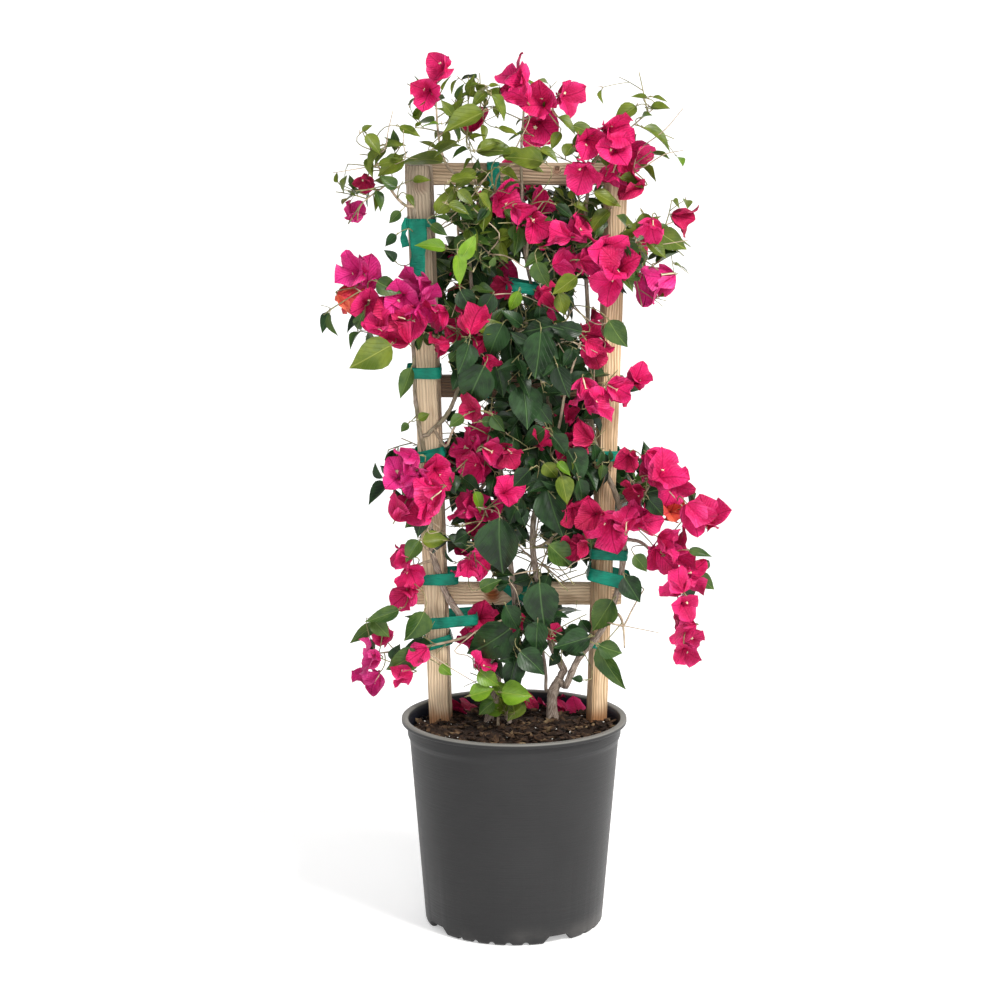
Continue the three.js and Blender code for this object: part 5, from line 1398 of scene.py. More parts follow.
# %% Tests of a place
limb_shares = [np.linspace(0, 1, int(limb["path"].length / 4)) for limb in limbs.values()]
limb_points = np.concatenate([limb["path"].at(t) for limb, t in zip(limbs.values(), limb_shares)])
limb_sizes = np.concatenate([limb["radius"](t) for limb, t in zip(limbs.values(), limb_shares)])
print("limb points", len(limb_points))
LOOSE_END, LOOSE_LEFT, BOW_REACH = 86, 14, 26


def in_box(p, *spans):
    """True for points between the two ends of each axis's span."""
    low, high = np.array(spans, float).T
    return ((p > low) & (p < high)).all(1)


def in_wood(p, off):
    """True in a stake, by its turned square, or in a bar, each grown by an offset."""
    hit = np.zeros(len(p), bool)
    for post in POSTS.values():
        x, y, width = post_at(post, p[:, 2])
        turn = -math.radians(post["turn"])
        dx, dy = p[:, 0] - x, p[:, 1] - y
        across = np.abs(dx * math.cos(turn) - dy * math.sin(turn))
        deep = np.abs(dx * math.sin(turn) + dy * math.cos(turn))
        hit |= (across < width / 2 + off) & (deep < width / 2 + off) & (p[:, 2] < post["top"] + off)
    for bar in BARS.values():
        _, _, middle = bar_placing(bar)
        deep, high = BAR["depth"] / 2 + off + 2, BAR["height"] / 2 + off
        hit |= in_box(p, (bar["left"] - off, bar["right"] + off), (middle[1] - deep, middle[1] + deep),
                      (bar["z"] - high, bar["z"] + high))
    return hit


def in_tape(p, off):
    """True in the box round a tie, with its loose ends."""
    hit = np.zeros(len(p), bool)
    for name, (on, z, width, stand_off, left, right, slant) in POST_TIES.items():
        x, y, post_width = post_at(POSTS[on], z)
        half = turned_reach(post_width, POSTS[on]["turn"]) + 3 + off
        rise = width / 2 + 0.9 * abs(math.sin(math.radians(slant))) * (half + right) + off
        drop, left = (LOOSE_END, LOOSE_LEFT) if name == "tie_left_top" else (0, left)
        hit |= in_box(p, (x - half - left, x + half + right), (y - half - stand_off, y + half),
                      (z - rise - drop, z + rise))
    for name, (on, x, width, stand_off) in BAR_TIES.items():
        _, front, (_, _, z) = bar_placing(BARS[on])
        reach = width / 2 + off + (BOW_REACH if name == "tie_bar_low" else 0)
        before, behind = front - stand_off - 3 - off, front + BAR["depth"] + 4 + off
        rise = BAR["height"] / 2 + 16 + off
        hit |= in_box(p, (x - reach, x + reach), (before, behind), (z - rise, z + rise))
    return hit


def in_pot(p, off):
    """True in the pot below the mix's top, and in the pot's wall and rim above it."""
    radius, z = np.hypot(p[:, 0], p[:, 1]), p[:, 2]
    below = (z < SOIL_TOP + off) | ((z < POT["height"] + off) & (radius > POT["mouth"] - off - 3))
    return below & (radius < POT["rim"] + off)


# %% All tests in one
def in_reach(p, mass, reach=REACH):
    """True where the squared shares of the half sizes add up to less than the reach."""
    return (((p - mass["middle"]) / mass["half"]) ** 2).sum(-1) < reach


def in_neighbour(p, mass, slack):
    """True where another mass is nearer, by squared distance less its weight, by over a slack."""
    gaps = ((p[:, None] - middles[None]) ** 2).sum(-1) - weights
    own = ((p - mass["middle"]) ** 2).sum(-1) - mass["weight"]
    apart = np.linalg.norm(middles - mass["middle"], axis=1)
    return (gaps - own[:, None] < -2 * slack * apart[None]).any(1)


def near_limb(p, root, off):
    """True if a point comes close to a limb, except to the stretch that it grows from."""
    far = np.linalg.norm(limb_points - root, axis=1)
    picked = (far > 8) & (far < 110)
    if not picked.any():
        return False
    gaps = np.linalg.norm(p[:, None] - limb_points[picked][None], axis=-1) - limb_sizes[picked][None]
    return bool((gaps < off).any())


def is_free(p, mass, root, off=2.5, slack=14.0, reach=REACH):
    """All the tests in one, the quickest ones first."""
    if not in_reach(p, mass, reach).all() or in_neighbour(p, mass, slack).any():
        return False
    if in_pot(p, off).any() or in_wood(p, off + 1).any() or in_tape(p, off).any():
        return False
    return not near_limb(p, root, off)


def outward_at(p):
    """The way out from the middle of the plant, more to its front and back than its sides."""
    return unit([0.35 * (p[0] - PLANT_AXIS[0]), 1.3 * (p[1] - PLANT_AXIS[1]), 0])


def tilted(axis, tilt, roll):
    """A way tilted from an axis by one angle, towards a roll round it by another."""
    start = UP if abs(axis[2]) < 0.9 else np.array([1.0, 0, 0])
    first = unit(np.cross(start, axis))
    second = np.cross(axis, first)
    return axis * math.cos(tilt) + math.sin(tilt) * (first * math.cos(roll) + second * math.sin(roll))


# %% [markdown]
# ## Growing twigs, leaves and flower heads
#
# Growth only fills lists with the places and sizes of twigs, leaves and
# flower heads, by seeded draws: first what shows at the front, and then each
# mass by rule. The shapes come after, all at once.

# %% Growth at the front
twigs, leaves, blooms = [], [], []
# How far behind a head's middle its stalk ends; the stakes' x, and how near to one a head comes before it;
# and the length from which a dark leaf faces the camera
HEAD_BACK = 15
STAKES_AT, STAKE_ROOM = (-103, 113), 42
LARGE_LEAF = 54
masses_by_name = {mass["name"]: mass for mass in masses}
front_forks = [fork for mass in masses if mass["middle"][1] < 60 for fork in mass["forks"]]
anchors = np.concatenate([fork.at(np.linspace(0.1, 1, 24)) for fork in front_forks]
                         + [limb["path"].at(np.linspace(0.05, 1, 60)) for limb in limbs.values()])


def stem_to(place, away, among=None):
    """A thin curve from the nearest wood to a place, which it reaches along the given way."""
    points = anchors if among is None else among
    gaps = np.linalg.norm(points - place, axis=1)
    start = points[gaps.argmin()]
    reach = gaps.min()
    bend = place - away * 0.45 * reach
    return Path(bent(start, bend, place, np.linspace(0, 1, 9)[:, None]))


def random_way(draw):
    """A way in any direction, from three even draws."""
    return unit(np.array([draw(), draw(), draw()]) - 0.5 + 1e-6)


def add_bloom(place, axis, size, tone, draw, among=None):
    """A flower head with its middle at a place, on a stalk from the nearest wood."""
    root = place - axis * HEAD_BACK * size
    path = stem_to(root, axis, among)
    twigs.append({"path": path, "radii": (0.8, 0.7)})
    blooms.append({"base": path.at(0.9), "root": root, "axis": axis, "roll": 2 * math.pi * draw(),
                   "size": size, "draw": (draw(), draw(), draw()), "tone": tone})


# %% Front flower heads
for number, (name, groups) in enumerate(FLOWER_GROUPS.items()):
    mass = masses_by_name[name]
    wood = np.concatenate([fork.at(np.linspace(0.3, 1, 24)) for fork in mass["forks"]])
    for g, (x, z, half_x, half_z, count, tone) in enumerate(groups):
        draw = seeded(9000 + 40 * number + g)
        first = 2 * math.pi * draw()
        for i in range(count):
            turn = first + 2 * math.pi * i / count
            off = 0.0 if count == 1 else 0.8
            y = mass["middle"][1] + mass["half"][1] * (1.5 * draw() - 0.95)
            if min(abs(x - stake) for stake in STAKES_AT) < STAKE_ROOM:
                y = min(y, -14 - 30 * draw())
            place = at_depth(x + off * half_x * math.cos(turn), z + off * half_z * math.sin(turn), y)
            size = (0.9 + 0.22 * draw()) if count > 1 else 0.46 + 0.05 * (half_x + half_z) / 2
            axis = unit(outward_at(place) * 0.6 + random_way(draw) * 1.0)
            add_bloom(place, axis, size, tone, draw, wood)
print("flower heads at the front", len(blooms))

# %% Front leaves and bare twigs
for number, (x0, z0, x1, z1, tone) in enumerate(FRONT_LEAVES):
    draw = seeded(7000 + number)
    length = math.hypot(x1 - x0, z1 - z0)
    y = -24 - 46 * draw() if abs(x0 - 10) < 95 else -12 - 36 * draw()
    base = at_depth(x0, z0, y)
    axis = unit([x1 - x0, length * 0.5 * (draw() - 0.62), z1 - z0])
    level = float(np.clip((z0 - 800) / 120, 0, 1))
    normal = unit([1.3 * (draw() - 0.5), -1 + 0.35 * level, 0.35 + 0.4 * level + 0.8 * (draw() - 0.5)])
    normal = square_to(normal, axis)
    path = stem_to(base, axis)
    twigs.append({"path": path, "radii": (0.75, 0.5)})
    broad = {"s": 0.36, "y": 0.44 if z0 > 340 else 0.72}.get(tone, 0.64 - 0.14 * level)
    if length > LARGE_LEAF and tone == "d":
        normal = square_to(unit(normal + np.array([0, -1.2, 0])), axis)
    width = length * (broad + 0.12 * draw())
    leaves.append({"root": path.at(0.93), "base": base, "axis": axis, "normal": normal, "length": length,
                   "width": width, "centre": base + axis * 0.45 * length,
                   "draw": (draw(), draw(), draw(), draw()), "mass": "front", "tone": tone})

for lines, radii, first_y in ((BARE_TWIGS, (1.0, 0.4), -28.0), (BARE_STEMS, (2.1, 1.3), -8.0)):
    for points in lines:
        line = np.array([at_depth(x, z, first_y - 6 * k) for k, (x, z) in enumerate(points)])
        foot = anchors[np.linalg.norm(anchors - line[0], axis=1).argmin()]
        twigs.append({"path": Path(smooth_curve([foot, *line])), "radii": radii})
shown = [(bloom["root"] + bloom["axis"] * 14 * bloom["size"], 15 * bloom["size"]) for bloom in blooms]
shown += [(leaf["centre"], 0.33 * leaf["length"]) for leaf in leaves]
shown_at = seen_at(np.array([place for place, _ in shown]))
shown_size = np.array([size for _, size in shown])
shown_depth = np.array([place[1] for place, _ in shown])
print("at the front: leaves", len(leaves), "flower heads", len(blooms))


def hides(place, size):
    """True where a leaf would stand in front of a flower head or leaf that has to show."""
    gap = np.linalg.norm(shown_at - seen_at(place[None]), axis=1)
    return bool(((gap < shown_size + 0.2 * size) & (place[1] < shown_depth + 8)).any())


# %% [markdown]
# ## Filling the masses by rule
#
# Leaves strewn at random would hang in the air. Here every one stands on a
# twig: forks carry twigs by steps of the golden angle, twigs carry finer
# ones, and leaves alternate from side to side. What finds no room is left
# out, so the gaps of the photo stay open.

# %% Growth by rule
# Places on a leaf, as shares of its length along and across, and how many of the last things can be near
LEAF_SPOTS = np.array([[0.25, 0], [0.5, 0], [0.75, 0], [1, 0], [0.4, 0.33], [0.4, -0.33], [0.65, 0.2],
                       [0.65, -0.2]])
NEAR_LEAVES, NEAR_HEADS = 260, 90


def grow_leaf(mass, root, along, flank, size, draw, tries=8):
    """A leaf leans to one side of its twig, hangs a little and turns its face outwards. It shrinks
    with each try, and is left out where it finds no room."""
    outward = outward_at(root)
    for attempt in range(tries):
        side = -flank if attempt % 3 == 2 else flank
        axis = unit(np.cross(along, outward)) * side * (0.5 + 0.5 * draw())
        axis = axis + outward * (0.8 * draw() - 0.15) + UP * (0.25 - 0.95 * draw())
        axis = unit(axis + along * (0.6 * draw() - axis @ along))
        level = float(np.clip((root[2] - 760) / 160, 0, 1))
        normal = outward * (0.9 - 0.45 * level) + UP * (0.5 + 0.6 * level) + random_way(draw) * 0.75
        normal = square_to(normal, axis)
        length = size * (1 - 0.4 * attempt / tries)
        side_way = np.cross(axis, normal)
        base = root + unit(axis + 0.5 * along) * 0.16 * length
        points = base + LEAF_SPOTS[:, :1] * axis * length + LEAF_SPOTS[:, 1:] * side_way * length
        if not is_free(points, mass, root) or in_clearing(points).any():
            continue
        centre = base + axis * 0.45 * length
        if hides(centre, length):
            continue
        others, sizes = (values_of(leaves[-NEAR_LEAVES:], key) for key in ("centre", "length"))
        if (np.linalg.norm(others - centre, axis=1) < 0.17 * (sizes + length)).any():
            continue
        leaves.append({
            "root": root, "base": base, "axis": axis, "normal": normal, "length": length, "centre": centre,
            "width": length * (0.54 + 0.18 * draw() - 0.06 * level), "draw": (draw(), draw(), draw(), draw()),
            "mass": mass["name"], "tone": None,
        })
        return


# %% Twigs by rule
LEAF_EVERY = 11
TWIG_LENGTH = 50
TWIG_TILT, FINE_TILT = math.radians(64), math.radians(48)
LONG_TWIG, LAST_ORDER = 22, 3


def leaf_size(mass, share, draw):
    """Leaves are larger towards the foot of a twig, and vary from mass to mass."""
    return (58 - 18 * share) * (0.68 + 0.5 * draw()) * mass["leaf_scale"]


def grow_twig(mass, base, way, length, radii, draw, order):
    """A twig bows as it goes and carries leaves from side to side and finer twigs. It is left out
    where it has no room, and mostly where no leaf found room on it."""
    drop = UP * -0.1 * length
    bow = np.cross(way, UP) * (draw() - 0.5) * 0.3 * length
    t = np.linspace(0, 1, 9)[:, None]
    path = Path(base + way * length * t + drop * t ** 2 + bow * np.sin(np.pi * t) * 0.5)
    if not is_free(path.at([0.4, 0.6, 0.8, 1.0]), mass, base, 1.5):
        return False
    twigs.append({"path": path, "radii": radii})
    place, carried = len(twigs) - 1, len(leaves)
    count = max(2, round(length / LEAF_EVERY))
    flank = 1 if draw() > 0.5 else -1
    for k in range(count):
        share = 0.28 + 0.70 * k / max(1, count - 1)
        if draw() < mass["leafy"]:
            size = leaf_size(mass, share, draw)
            grow_leaf(mass, path.at(share), path.way(share), flank * (-1) ** k, size, draw)
    if order < LAST_ORDER and length > LONG_TWIG:
        fine = tilted(path.way(0.6), FINE_TILT, GOLDEN * 3 * draw() + 6.28 * draw())
        grow_twig(mass, path.at(0.55), fine, length * (0.5 + 0.3 * draw()), (radii[1], 0.4), draw, order + 1)
    if len(leaves) == carried and draw() < 0.9:
        del twigs[place]
    return True


# %% Flower heads by rule
def grow_blooms(mass, fork, count, seed, tones, scale, foremost=-99.0):
    """Heads stand round a flowering tip, each turned on by the golden angle and facing outwards."""
    for i in range(math.ceil(count * 1.75)):
        draw = seeded(seed + 50 + i)
        for attempt in range(6):
            share = 0.98 - 0.07 * ((i + attempt) % 5)
            base, end = fork.at(share), fork.way(1.0)
            facing = unit(outward_at(base) * 0.9 + end * 0.4)
            tilt = 0.3 * draw() + 0.1 if count == 1 else 0.6 + 0.8 * draw()
            way = tilted(facing, tilt, GOLDEN * (i + 2.6 * attempt) + 0.8 * draw())
            root = base + way * (14 + 20 * draw())
            axis = unit(way * 0.45 + facing * 0.8)
            size = (0.9 + 0.25 * draw()) * scale
            ring = [root + axis * 16 * size + tilted(axis, math.pi / 2, a) * 27 * size
                    for a in np.arange(6) * math.pi / 3]
            spots = np.array([root, *ring])
            if root[1] < foremost or not is_free(spots, mass, base, 1.5, 18.0, REACH * 1.08):
                continue
            if in_clearing(spots).any():
                continue
            others = values_of(blooms[-NEAR_HEADS:], "root").reshape(-1, 3)
            if len(others) and (np.linalg.norm(others - root, axis=1) < 20 * size).any():
                continue
            tone = tones[int(len(tones) * draw())]
            add_bloom(root + axis * HEAD_BACK * size, axis, size, tone, draw, base[None])
            break


# %% All masses
def seeded_forks(mass):
    """The number, path and seed of each fork."""
    return [(f, fork, mass["seed"] * 1000 + f * 100) for f, fork in enumerate(mass["forks"])]


for mass in masses:
    for f, fork, seed in seeded_forks(mass):
        if mass["name"] not in FLOWER_GROUPS:
            grow_blooms(mass, fork, mass["blooms"][f], seed, "mmrmr", 1.0 if f == 0 else 0.8)
        elif mass["name"].startswith("centre"):
            # Heads deep in the middle masses are smaller and take the crimson tone, as painted shade.
            grow_blooms(mass, fork, 1, seed, "r", 0.6, -8.0)
for mass in masses:
    for f, fork, seed in seeded_forks(mass):
        twigs.append({"path": fork, "radii": (2.0, 0.9) if f == 0 else (1.2, 0.7)})
        count = mass["shoots"] * 2
        for i in range(count):
            draw = seeded(seed + i)
            share = 0.2 + 0.77 * (i + 0.7 * draw()) / count
            for attempt in range(4):
                way = tilted(fork.way(share), TWIG_TILT, GOLDEN * (i + 1.6 * attempt) + draw())
                way = unit(way + outward_at(fork.at(share)) * 0.35 * draw())
                length = TWIG_LENGTH * (0.55 + 0.6 * draw())
                if grow_twig(mass, fork.at(share), way, length, (0.85, 0.6), draw, 1):
                    break
        draw = seeded(seed + 90)
        steps = max(2, round(fork.length / LEAF_EVERY))
        for k in range(steps):
            share = 0.25 + 0.73 * k / max(1, steps - 1)
            if draw() < mass["leafy"]:
                size = leaf_size(mass, share, draw)
                grow_leaf(mass, fork.at(share), fork.way(share), (-1) ** k, size, draw)
print("twigs", len(twigs), "leaves", len(leaves), "flower heads", len(blooms))

# %% [markdown]
# ## Leaves
#
# A bougainvillea leaf is egg-shaped with a drawn-out tip, folded along its
# midrib and curved back. One grid of a few dozen faces is bent for all
# leaves at once. Old leaves low in the plant are dark blue-green and those
# at its top and tips yellow-green, and leaves deep in the middle are darker
# still as painted shade, so there is a piece for each tone.

# %% Leaf shapes
# A leaf's outline: its width, as a share of the widest, at shares of its length
LEAF_ROWS = np.array([0.05, 0.14, 0.27, 0.42, 0.58, 0.74, 0.88])
LEAF_WIDTHS = np.array([0.42, 0.79, 1.0, 0.99, 0.83, 0.54, 0.22])


def blade(rows, widths, columns):
    """A flat blade as shares: along 0 to 1, across -1 to 1, its faces, and a point at either end."""
    across = np.linspace(-1, 1, columns)
    along = np.concatenate([np.repeat(rows, columns), [0, 1]])
    side = np.concatenate([np.tile(across, len(rows)), [0, 0]])
    wide = np.concatenate([np.repeat(widths, columns), [0, 0]])
    last = len(rows) * columns
    faces = grid_faces(len(rows), columns, wrap=False).tolist()
    faces += [[last, j + 1, j] for j in range(columns - 1)]
    top = (len(rows) - 1) * columns
    faces += [[last + 1, top + j, top + j + 1] for j in range(columns - 1)]
    return along, side, wide, faces


def many_blades(points, side, wide, along, faces):
    """Points, faces and uv pairs of many blades: u runs across the blade and v along it."""
    uv = np.stack([0.5 + 0.5 * side * wide, along], -1)
    return points.reshape(-1, 3), repeat_faces(faces, len(points), len(along)), np.tile(uv, (len(points), 1))


def leaf_points(some):
    """Along the axis, across it by the outline's width, and lifted by the fold at the midrib, a
    droop towards the tip, and a soft wave along the edge."""
    along, side, wide, faces = blade(LEAF_ROWS, LEAF_WIDTHS, 5)
    base, axis, normal = (values_of(some, key) for key in ("base", "axis", "normal"))
    across = np.cross(axis, normal)
    length, width = (values_of(some, key)[:, None] for key in ("length", "width"))
    fold, droop, wave, phase = values_of(some, "draw").T[:, :, None]
    lift = (0.16 + 0.55 * fold) * np.abs(side * wide) * width / 2
    lift = lift - (0.03 + 0.34 * droop) * along ** 2.2 * length
    lift = lift + 0.05 * wave * length * np.abs(side) ** 2 * np.sin(9 * along + 6.28 * phase) * wide
    bend = 0.05 * (phase - 0.5) * np.sin(np.pi * along) * length
    offset = side * wide * width / 2 + bend
    points = (base[:, None] + axis[:, None] * (along * length)[..., None]
              + across[:, None] * offset[..., None] + normal[:, None] * lift[..., None])
    return many_blades(points, side, wide, along, faces)


# %% Leaf tones
def leaf_tone(leaf):
    """0 for the darkest leaves and 1 for the brightest: higher and further out is brighter."""
    x, y, z = leaf["centre"]
    # The dark tone d and the dark end of the rule below are partly the old leaves' own colour and partly
    # painted shade deep in the plant.
    if leaf["tone"]:
        return {"d": 0.1, "g": 0.6 if z > 890 else 0.4, "s": 0.4, "b": 0.65, "y": 0.9}[leaf["tone"]]
    high = np.clip((z - 700) / 260, 0, 1)
    low = 0.55 if leaf["mass"] == "foot_shoot" else 0.0
    out = np.clip((abs(x - 10) - 70) / 120, 0, 1)
    return float(0.12 + 0.44 * high + 0.16 * out + low + 0.36 * (leaf["draw"][3] - 0.5))


# %% Leaf finish
def leaf_material(name, face, light, edge):
    """A leaf's face: lighter along the midrib and side veins, mottled, and a little glossy."""
    leaf = Finish(name, specular=0.28)
    u, v = leaf.uv()
    from_rib = leaf.size_of(u - 0.5)
    rib = 1 - leaf.step(from_rib, 0.008, 0.035)
    slant = leaf.sine((v - 1.1 * from_rib) * 38 + 5 * leaf.noise(leaf.place(), 22.0, 1.0))
    vein = leaf.step(slant, 0.88, 1.0) * leaf.step(from_rib, 0.02, 0.08)
    mottle = leaf.noise(leaf.place(), 90.0, 3.0)
    tone = leaf.noise(leaf.place(), 26.0, 1.0)
    shade = leaf.blend(leaf.step(mottle * 0.5 + tone * 0.5, 0.36, 0.64), face, light)
    shade = leaf.blend(rib * 0.55 + vein * 0.14, shade, edge)
    leaf.set("Base Color", shade)
    leaf.set("Roughness", 0.26 + 0.22 * mottle)
    return leaf.relief(1 - rib * 0.9 - vein * 0.5, 0.0006)


# The darkest piece, given to the middle and back of the plant, is partly painted shade.
LEAF_TONES = [
    ("leaves_dark", "leaf", (0.004, 0.015, 0.004), (0.016, 0.052, 0.012), (0.075, 0.15, 0.045)),
    ("leaves_green", "leaf", (0.022, 0.058, 0.009), (0.060, 0.108, 0.018), (0.16, 0.24, 0.06)),
    ("leaves_bright", "leaf", (0.062, 0.100, 0.008), (0.135, 0.174, 0.016), (0.27, 0.30, 0.06)),
    ("leaves_young", "young_leaf", (0.085, 0.18, 0.008), (0.16, 0.29, 0.018), (0.30, 0.40, 0.06)),
]
# The tones between which a piece takes its leaves, and the masses that it stands for
LEVELS = [-9.0, 0.30, 0.52, 0.76, 9.0]
STANDS_FOR = {"leaves_dark": ("centre_", "back_"), "leaves_green": ("left_", "right_"),
              "leaves_bright": ("crown_",), "leaves_young": ("foot_",)}
tones = [leaf_tone(leaf) for leaf in leaves]
for (name, slot, face, light, edge), low, high in zip(LEAF_TONES, LEVELS, LEVELS[1:]):
    some = [leaf for leaf, tone in zip(leaves, tones) if low <= tone < high]
    points, faces, flat = leaf_points(some)
    solids = [mass_name for mass_name in MASSES if mass_name.startswith(STANDS_FOR[name])]
    dress(put_mesh(name, points, faces, flat), leaf_material(name, face, light, edge), slot, *solids)

# %% [markdown]
# ## Twigs, leaf stalks and thorns
#
# Twigs and stalks are thin tubes with a few sides. A hooked thorn stands in
# the angle over many leaf stalks.

# %% Twigs and stalks
def thin_tube(path, radii, sides=5, rings=7):
    """A plain tube along a path, from one radius to the other."""
    t = np.linspace(0, 1, rings)
    return closed_tube(tube_grid(path.at(t), radii[0] + (radii[1] - radii[0]) * t, sides))


def twig_material(name, one, other):
    """Smooth young bark in two tones."""
    skin = Finish(name, roughness=0.7)
    patch = skin.noise(skin.place(), 120.0, 3.0)
    skin.set("Base Color", skin.blend(skin.step(patch, 0.35, 0.65), one, other))
    return skin.relief(patch, 0.0004)


woody = [thin_tube(twig["path"], twig["radii"], 7, 14) for twig in twigs if twig["radii"][0] >= 1]
green = [thin_tube(twig["path"], twig["radii"]) for twig in twigs if twig["radii"][0] < 1]
stalks = []
for leaf in leaves:
    middle = (leaf["root"] + leaf["base"]) / 2 + UP * 0.06 * leaf["length"]
    end = leaf["base"] + leaf["axis"] * 0.05 * leaf["length"]
    stalks.append(thin_tube(Path(np.array([leaf["root"], middle, end])), (0.75, 0.5), 4, 4))
for bloom in blooms:
    line = np.array([bloom["base"], bloom["root"] + bloom["axis"] * 1.5])
    stalks.append(thin_tube(Path(line), (0.6, 0.8), 4, 4))
thorns = []
for leaf in leaves[::3]:
    reach = unit(leaf["axis"] * 0.3 + leaf["normal"] + 0.4 * UP) * (5 + 4 * leaf["draw"][0])
    hook = Path(np.array([leaf["root"], leaf["root"] + reach * 0.6, leaf["root"] + reach - UP * 1.4]))
    thorns.append(thin_tube(hook, (0.7, 0.12), 4, 4))

wood_twig = twig_material("twig_wood", (0.27, 0.20, 0.135), (0.50, 0.40, 0.28))
green_twig = twig_material("twig_green", (0.15, 0.155, 0.06), (0.30, 0.265, 0.12))
dress(put_mesh("twigs_woody", *add_parts(woody)), wood_twig, "bark")
dress(put_mesh("twigs_green", *add_parts(green)), green_twig, "bark")
dress(put_mesh("leaf_stalks", *add_parts(stalks)), green_twig, "young_leaf")
dress(put_mesh("thorns", *add_parts(thorns)), wood_twig, "bark")

# %% [markdown]
# ## Bracts and flowers
#
# The colour is not in the flowers but in the papery bracts round them,
# three to a head. A bract leaves the stalk steeply and opens outwards, so
# its midline is an arc, and it is cupped, crinkled at the edge and veined.

# %% Bract shapes
BRACT_ROWS = np.array([0.05, 0.15, 0.28, 0.42, 0.56, 0.69, 0.80, 0.89, 0.95])
BRACT_WIDTHS = np.array([0.42, 0.78, 0.96, 1.0, 0.97, 0.87, 0.69, 0.43, 0.19])
BRACT_LENGTH, BRACT_HALF_WIDTH = 40, 17.2
# How far a bract curves open from foot to tip, in degrees, and its angle to the head's axis at the foot
LEAST_OPEN, MORE_OPEN, FOOT_ANGLE = 28, 74, math.radians(10)


def bract_points(some, turn_each):
    """The midline is an arc from the head's axis towards the bract's own way out, steeper from
    foot to tip. The blade is cupped across, keeled and crinkled."""
    along, side, wide, faces = blade(BRACT_ROWS, BRACT_WIDTHS, 7)
    root, axis = values_of(some, "root"), values_of(some, "axis")
    open_by, crinkle, phase = values_of(some, "draw").T[:, :, None]
    uneven = np.stack([(phase[:, 0] * 7.3 + turn_each) % 1, (crinkle[:, 0] * 5.1 + turn_each) % 1])[..., None]
    open_by, phase = (0.5 * open_by + 0.5 * uneven[0]), phase + turn_each[:, None]
    size = values_of(some, "size")[:, None] * (0.88 + 0.26 * uneven[1])
    roll = turn_each + 0.7 * (uneven[0][:, 0] - 0.5)
    out = np.array([tilted(b["axis"], math.pi / 2, b["roll"] + turn) for b, turn in zip(some, roll)])
    around = np.cross(axis, out)
    sweep = np.radians(LEAST_OPEN + MORE_OPEN * open_by)
    steep = FOOT_ANGLE + sweep * along
    forward = BRACT_LENGTH * size * (np.sin(steep) - np.sin(FOOT_ANGLE)) / sweep
    outward = BRACT_LENGTH * size * (np.cos(FOOT_ANGLE) - np.cos(steep)) / sweep
    frill = np.sin(11 * along + 9 * phase + 2.2 * side) + 0.6 * np.sin(19 * along - 5 * side + 4 * phase)
    offset = side * wide * (BRACT_HALF_WIDTH + 1.7 * np.abs(side) * frill) * size
    lift = 2.2 * size * wide * np.sin(5 * side + 6 * along + 6.28 * phase) * np.abs(side)
    lift = lift + 0.15 * np.abs(offset)
    lift = lift + (1.2 + 2.2 * crinkle) * size * frill * side ** 2 * np.minimum(1, 4 * along)
    forward, outward = forward + lift * np.sin(steep), outward - lift * np.cos(steep)
    points = (root[:, None] + axis[:, None] * forward[..., None] + out[:, None] * outward[..., None]
              + around[:, None] * offset[..., None])
    return many_blades(points, side, wide, along, faces)


# %% Bract finish
def bract_material(name, heart, face, edge):
    """Papery and thin: a net of darker veins from the midrib, paler towards the edge."""
    bract = Finish(name, roughness=0.62, specular=0.25)
    u, v = bract.uv()
    from_rib = bract.size_of(u - 0.5)
    rib = 1 - bract.step(from_rib, 0.006, 0.028)
    slant = bract.sine((v - 0.9 * from_rib) * 62)
    vein = bract.step(slant, 0.80, 1.0) * bract.step(from_rib, 0.02, 0.10)
    net = bract.noise(bract.join(u * 14, v * 14), 1.0, 4.0, 0.7)
    cloud = bract.noise(bract.place(), 34.0, 2.0)
    shade = bract.blend(bract.step(cloud, 0.34, 0.66), heart, face)
    shade = bract.blend(bract.step(from_rib * 2 + net * 0.3, 0.55, 1.15) * 0.6, shade, edge)
    shade = bract.blend(bract.step(net, 0.5, 0.68) * 0.4, shade, edge)
    shade = bract.blend(rib * 0.6 + vein * 0.4 + bract.step(net, 0.46, 0.34) * 0.35, shade, heart)
    bract.set("Base Color", shade)
    return bract.relief(1 - vein * 0.6 - rib + 0.9 * net, 0.0013)


# %% All bracts
BRACT_TONES = {
    "m": ("bracts_magenta", (0.46, 0.004, 0.072), (0.73, 0.012, 0.15), (0.82, 0.065, 0.26)),
    "p": ("bracts_pink", (0.54, 0.007, 0.14), (0.77, 0.028, 0.25), (0.84, 0.115, 0.37)),
    # Painted shade: the crimson tone is a darker, redder copy of the magenta, for heads in shade.
    "r": ("bracts_crimson_shaded", (0.30, 0.002, 0.036), (0.58, 0.007, 0.095), (0.74, 0.04, 0.17)),
    "o": ("bracts_old", (0.66, 0.030, 0.075), (0.82, 0.14, 0.075), (0.86, 0.26, 0.13)),
}
RESTS_AT = SOIL_TOP + 2.5
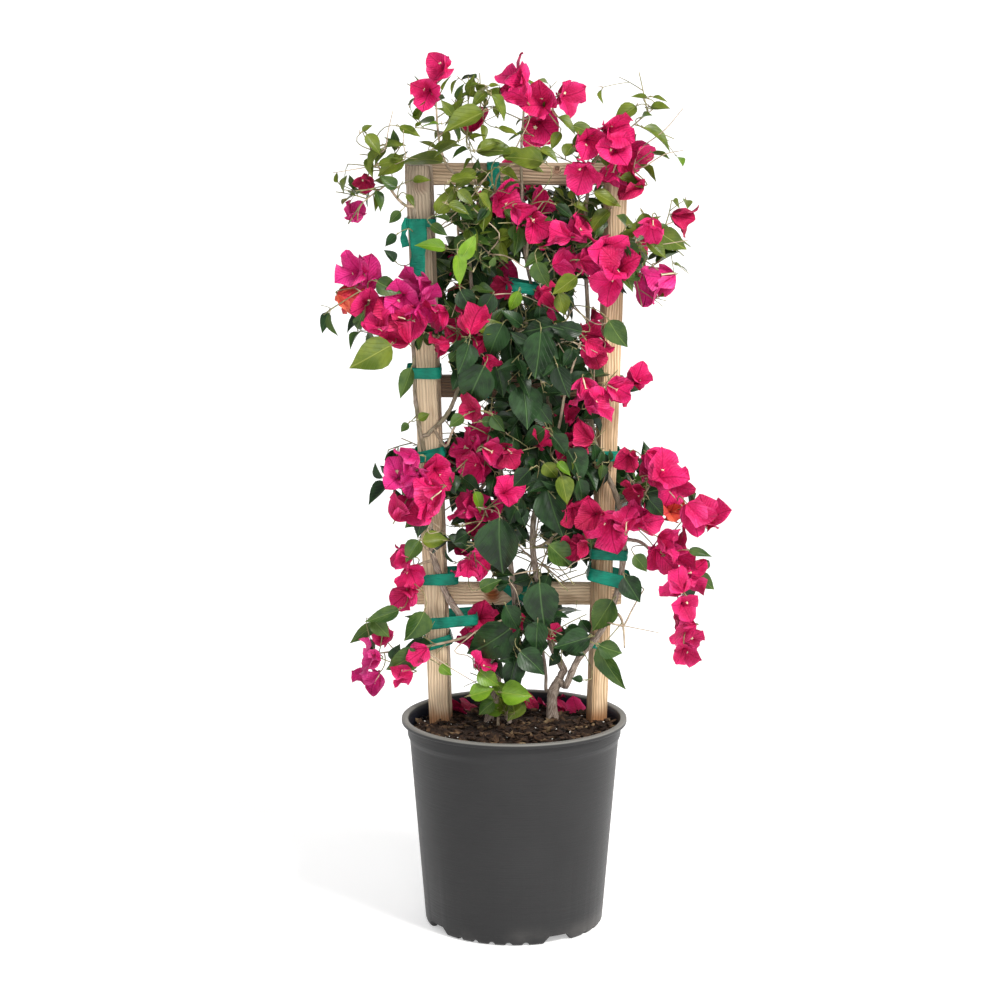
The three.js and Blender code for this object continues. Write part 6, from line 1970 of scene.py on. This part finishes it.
# Fallen bracts on the mix: x and y of the foot, tone
FALLEN = [
    (58, 84, "m"), (72, 78, "m"), (82, 66, "m"), (64, 66, "m"), (50, 92, "m"), (24, 84, "r"),
    (8, 98, "r"), (-46, 90, "r"), (-62, 84, "r"), (-70, 70, "r"), (-24, 100, "r"), (40, 104, "r"),
]
fallen = []
for number, (x, y, tone) in enumerate(FALLEN):
    draw = seeded(6000 + number)
    turn = 2 * math.pi * draw()
    axis = unit([math.cos(turn), math.sin(turn), 0.02])
    fallen.append({"root": np.array([x, y, RESTS_AT]), "axis": axis, "roll": math.pi / 2, "tone": tone,
                   "size": 0.62 + 0.2 * draw(), "draw": (0.3 * draw(), draw(), draw())})
for tone, (name, heart, face, edge) in BRACT_TONES.items():
    some = [bloom for bloom in blooms if bloom["tone"] == tone]
    lying = [bract for bract in fallen if bract["tone"] == tone]
    heads = [bloom for bloom in some for _ in range(3)] + lying
    turns = [2 * math.pi * k / 3 for _ in some for k in range(3)] + [0.0] * len(lying)
    points, faces, flat = bract_points(heads, np.array(turns))
    dress(put_mesh(name, points, faces, flat), bract_material(name, heart, face, edge), "bract")

# %% [markdown]
# ## The true flowers
#
# Each bract bears a small cream trumpet, and only some are open at a time.
# It is a lathe form whose last rings go in and out, which turns a round
# mouth into a star without any cutting.

# %% Small flowers
OPEN_SHARE = 0.27
TUBE_HEIGHTS = [1, 5, 11, 15, 16.5, 16.0]
TUBE_RADII = [0.5, 1.15, 0.8, 0.95]
STAR = np.where(np.arange(10) % 2, 2.9, 1.7)


def flower_tubes():
    """Rings along a slim tube that swells at its foot; the last ones have a star's radius."""
    parts = []
    for bloom in blooms:
        for k in range(3):
            if (bloom["draw"][0] * 7 + k * 0.37) % 1 > OPEN_SHARE:
                continue
            out = tilted(bloom["axis"], math.pi / 2, bloom["roll"] + 2 * math.pi * k / 3)
            way = unit(bloom["axis"] + 0.28 * out)
            turn = np.linspace(0, 2 * np.pi, 10, endpoint=False)
            radii = [*(radius + 0 * turn for radius in TUBE_RADII), STAR, STAR * 0.35]
            side = unit(np.cross(way, UP + 0.1 * out))
            other = np.cross(way, side)
            ring = side * np.cos(turn)[:, None] + other * np.sin(turn)[:, None]
            parts.append(closed_tube(np.stack([
                bloom["root"] + (out * 2.2 + way * height + ring * radius[:, None]) * bloom["size"]
                for height, radius in zip(TUBE_HEIGHTS, radii)])))
    return add_parts(parts)


def flower_material():
    """Cream, a little yellower in places."""
    cream = Finish("flower_cream", roughness=0.6)
    tone = cream.noise(cream.place(), 260.0)
    cream.set("Base Color", cream.blend(tone, (0.62, 0.50, 0.24), (0.86, 0.80, 0.60)))
    return cream.material


dress(put_mesh("small_flowers", *flower_tubes()), flower_material(), "bract")

# %% [markdown]
# ## Last look at the size
#
# The box round the dressed plant is printed. The dressed plant has to keep
# close to the box of its solids.

# %% Sizes and finish
low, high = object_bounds()
print("dressed box", [round(v, 3) for v in (*low, *high)])
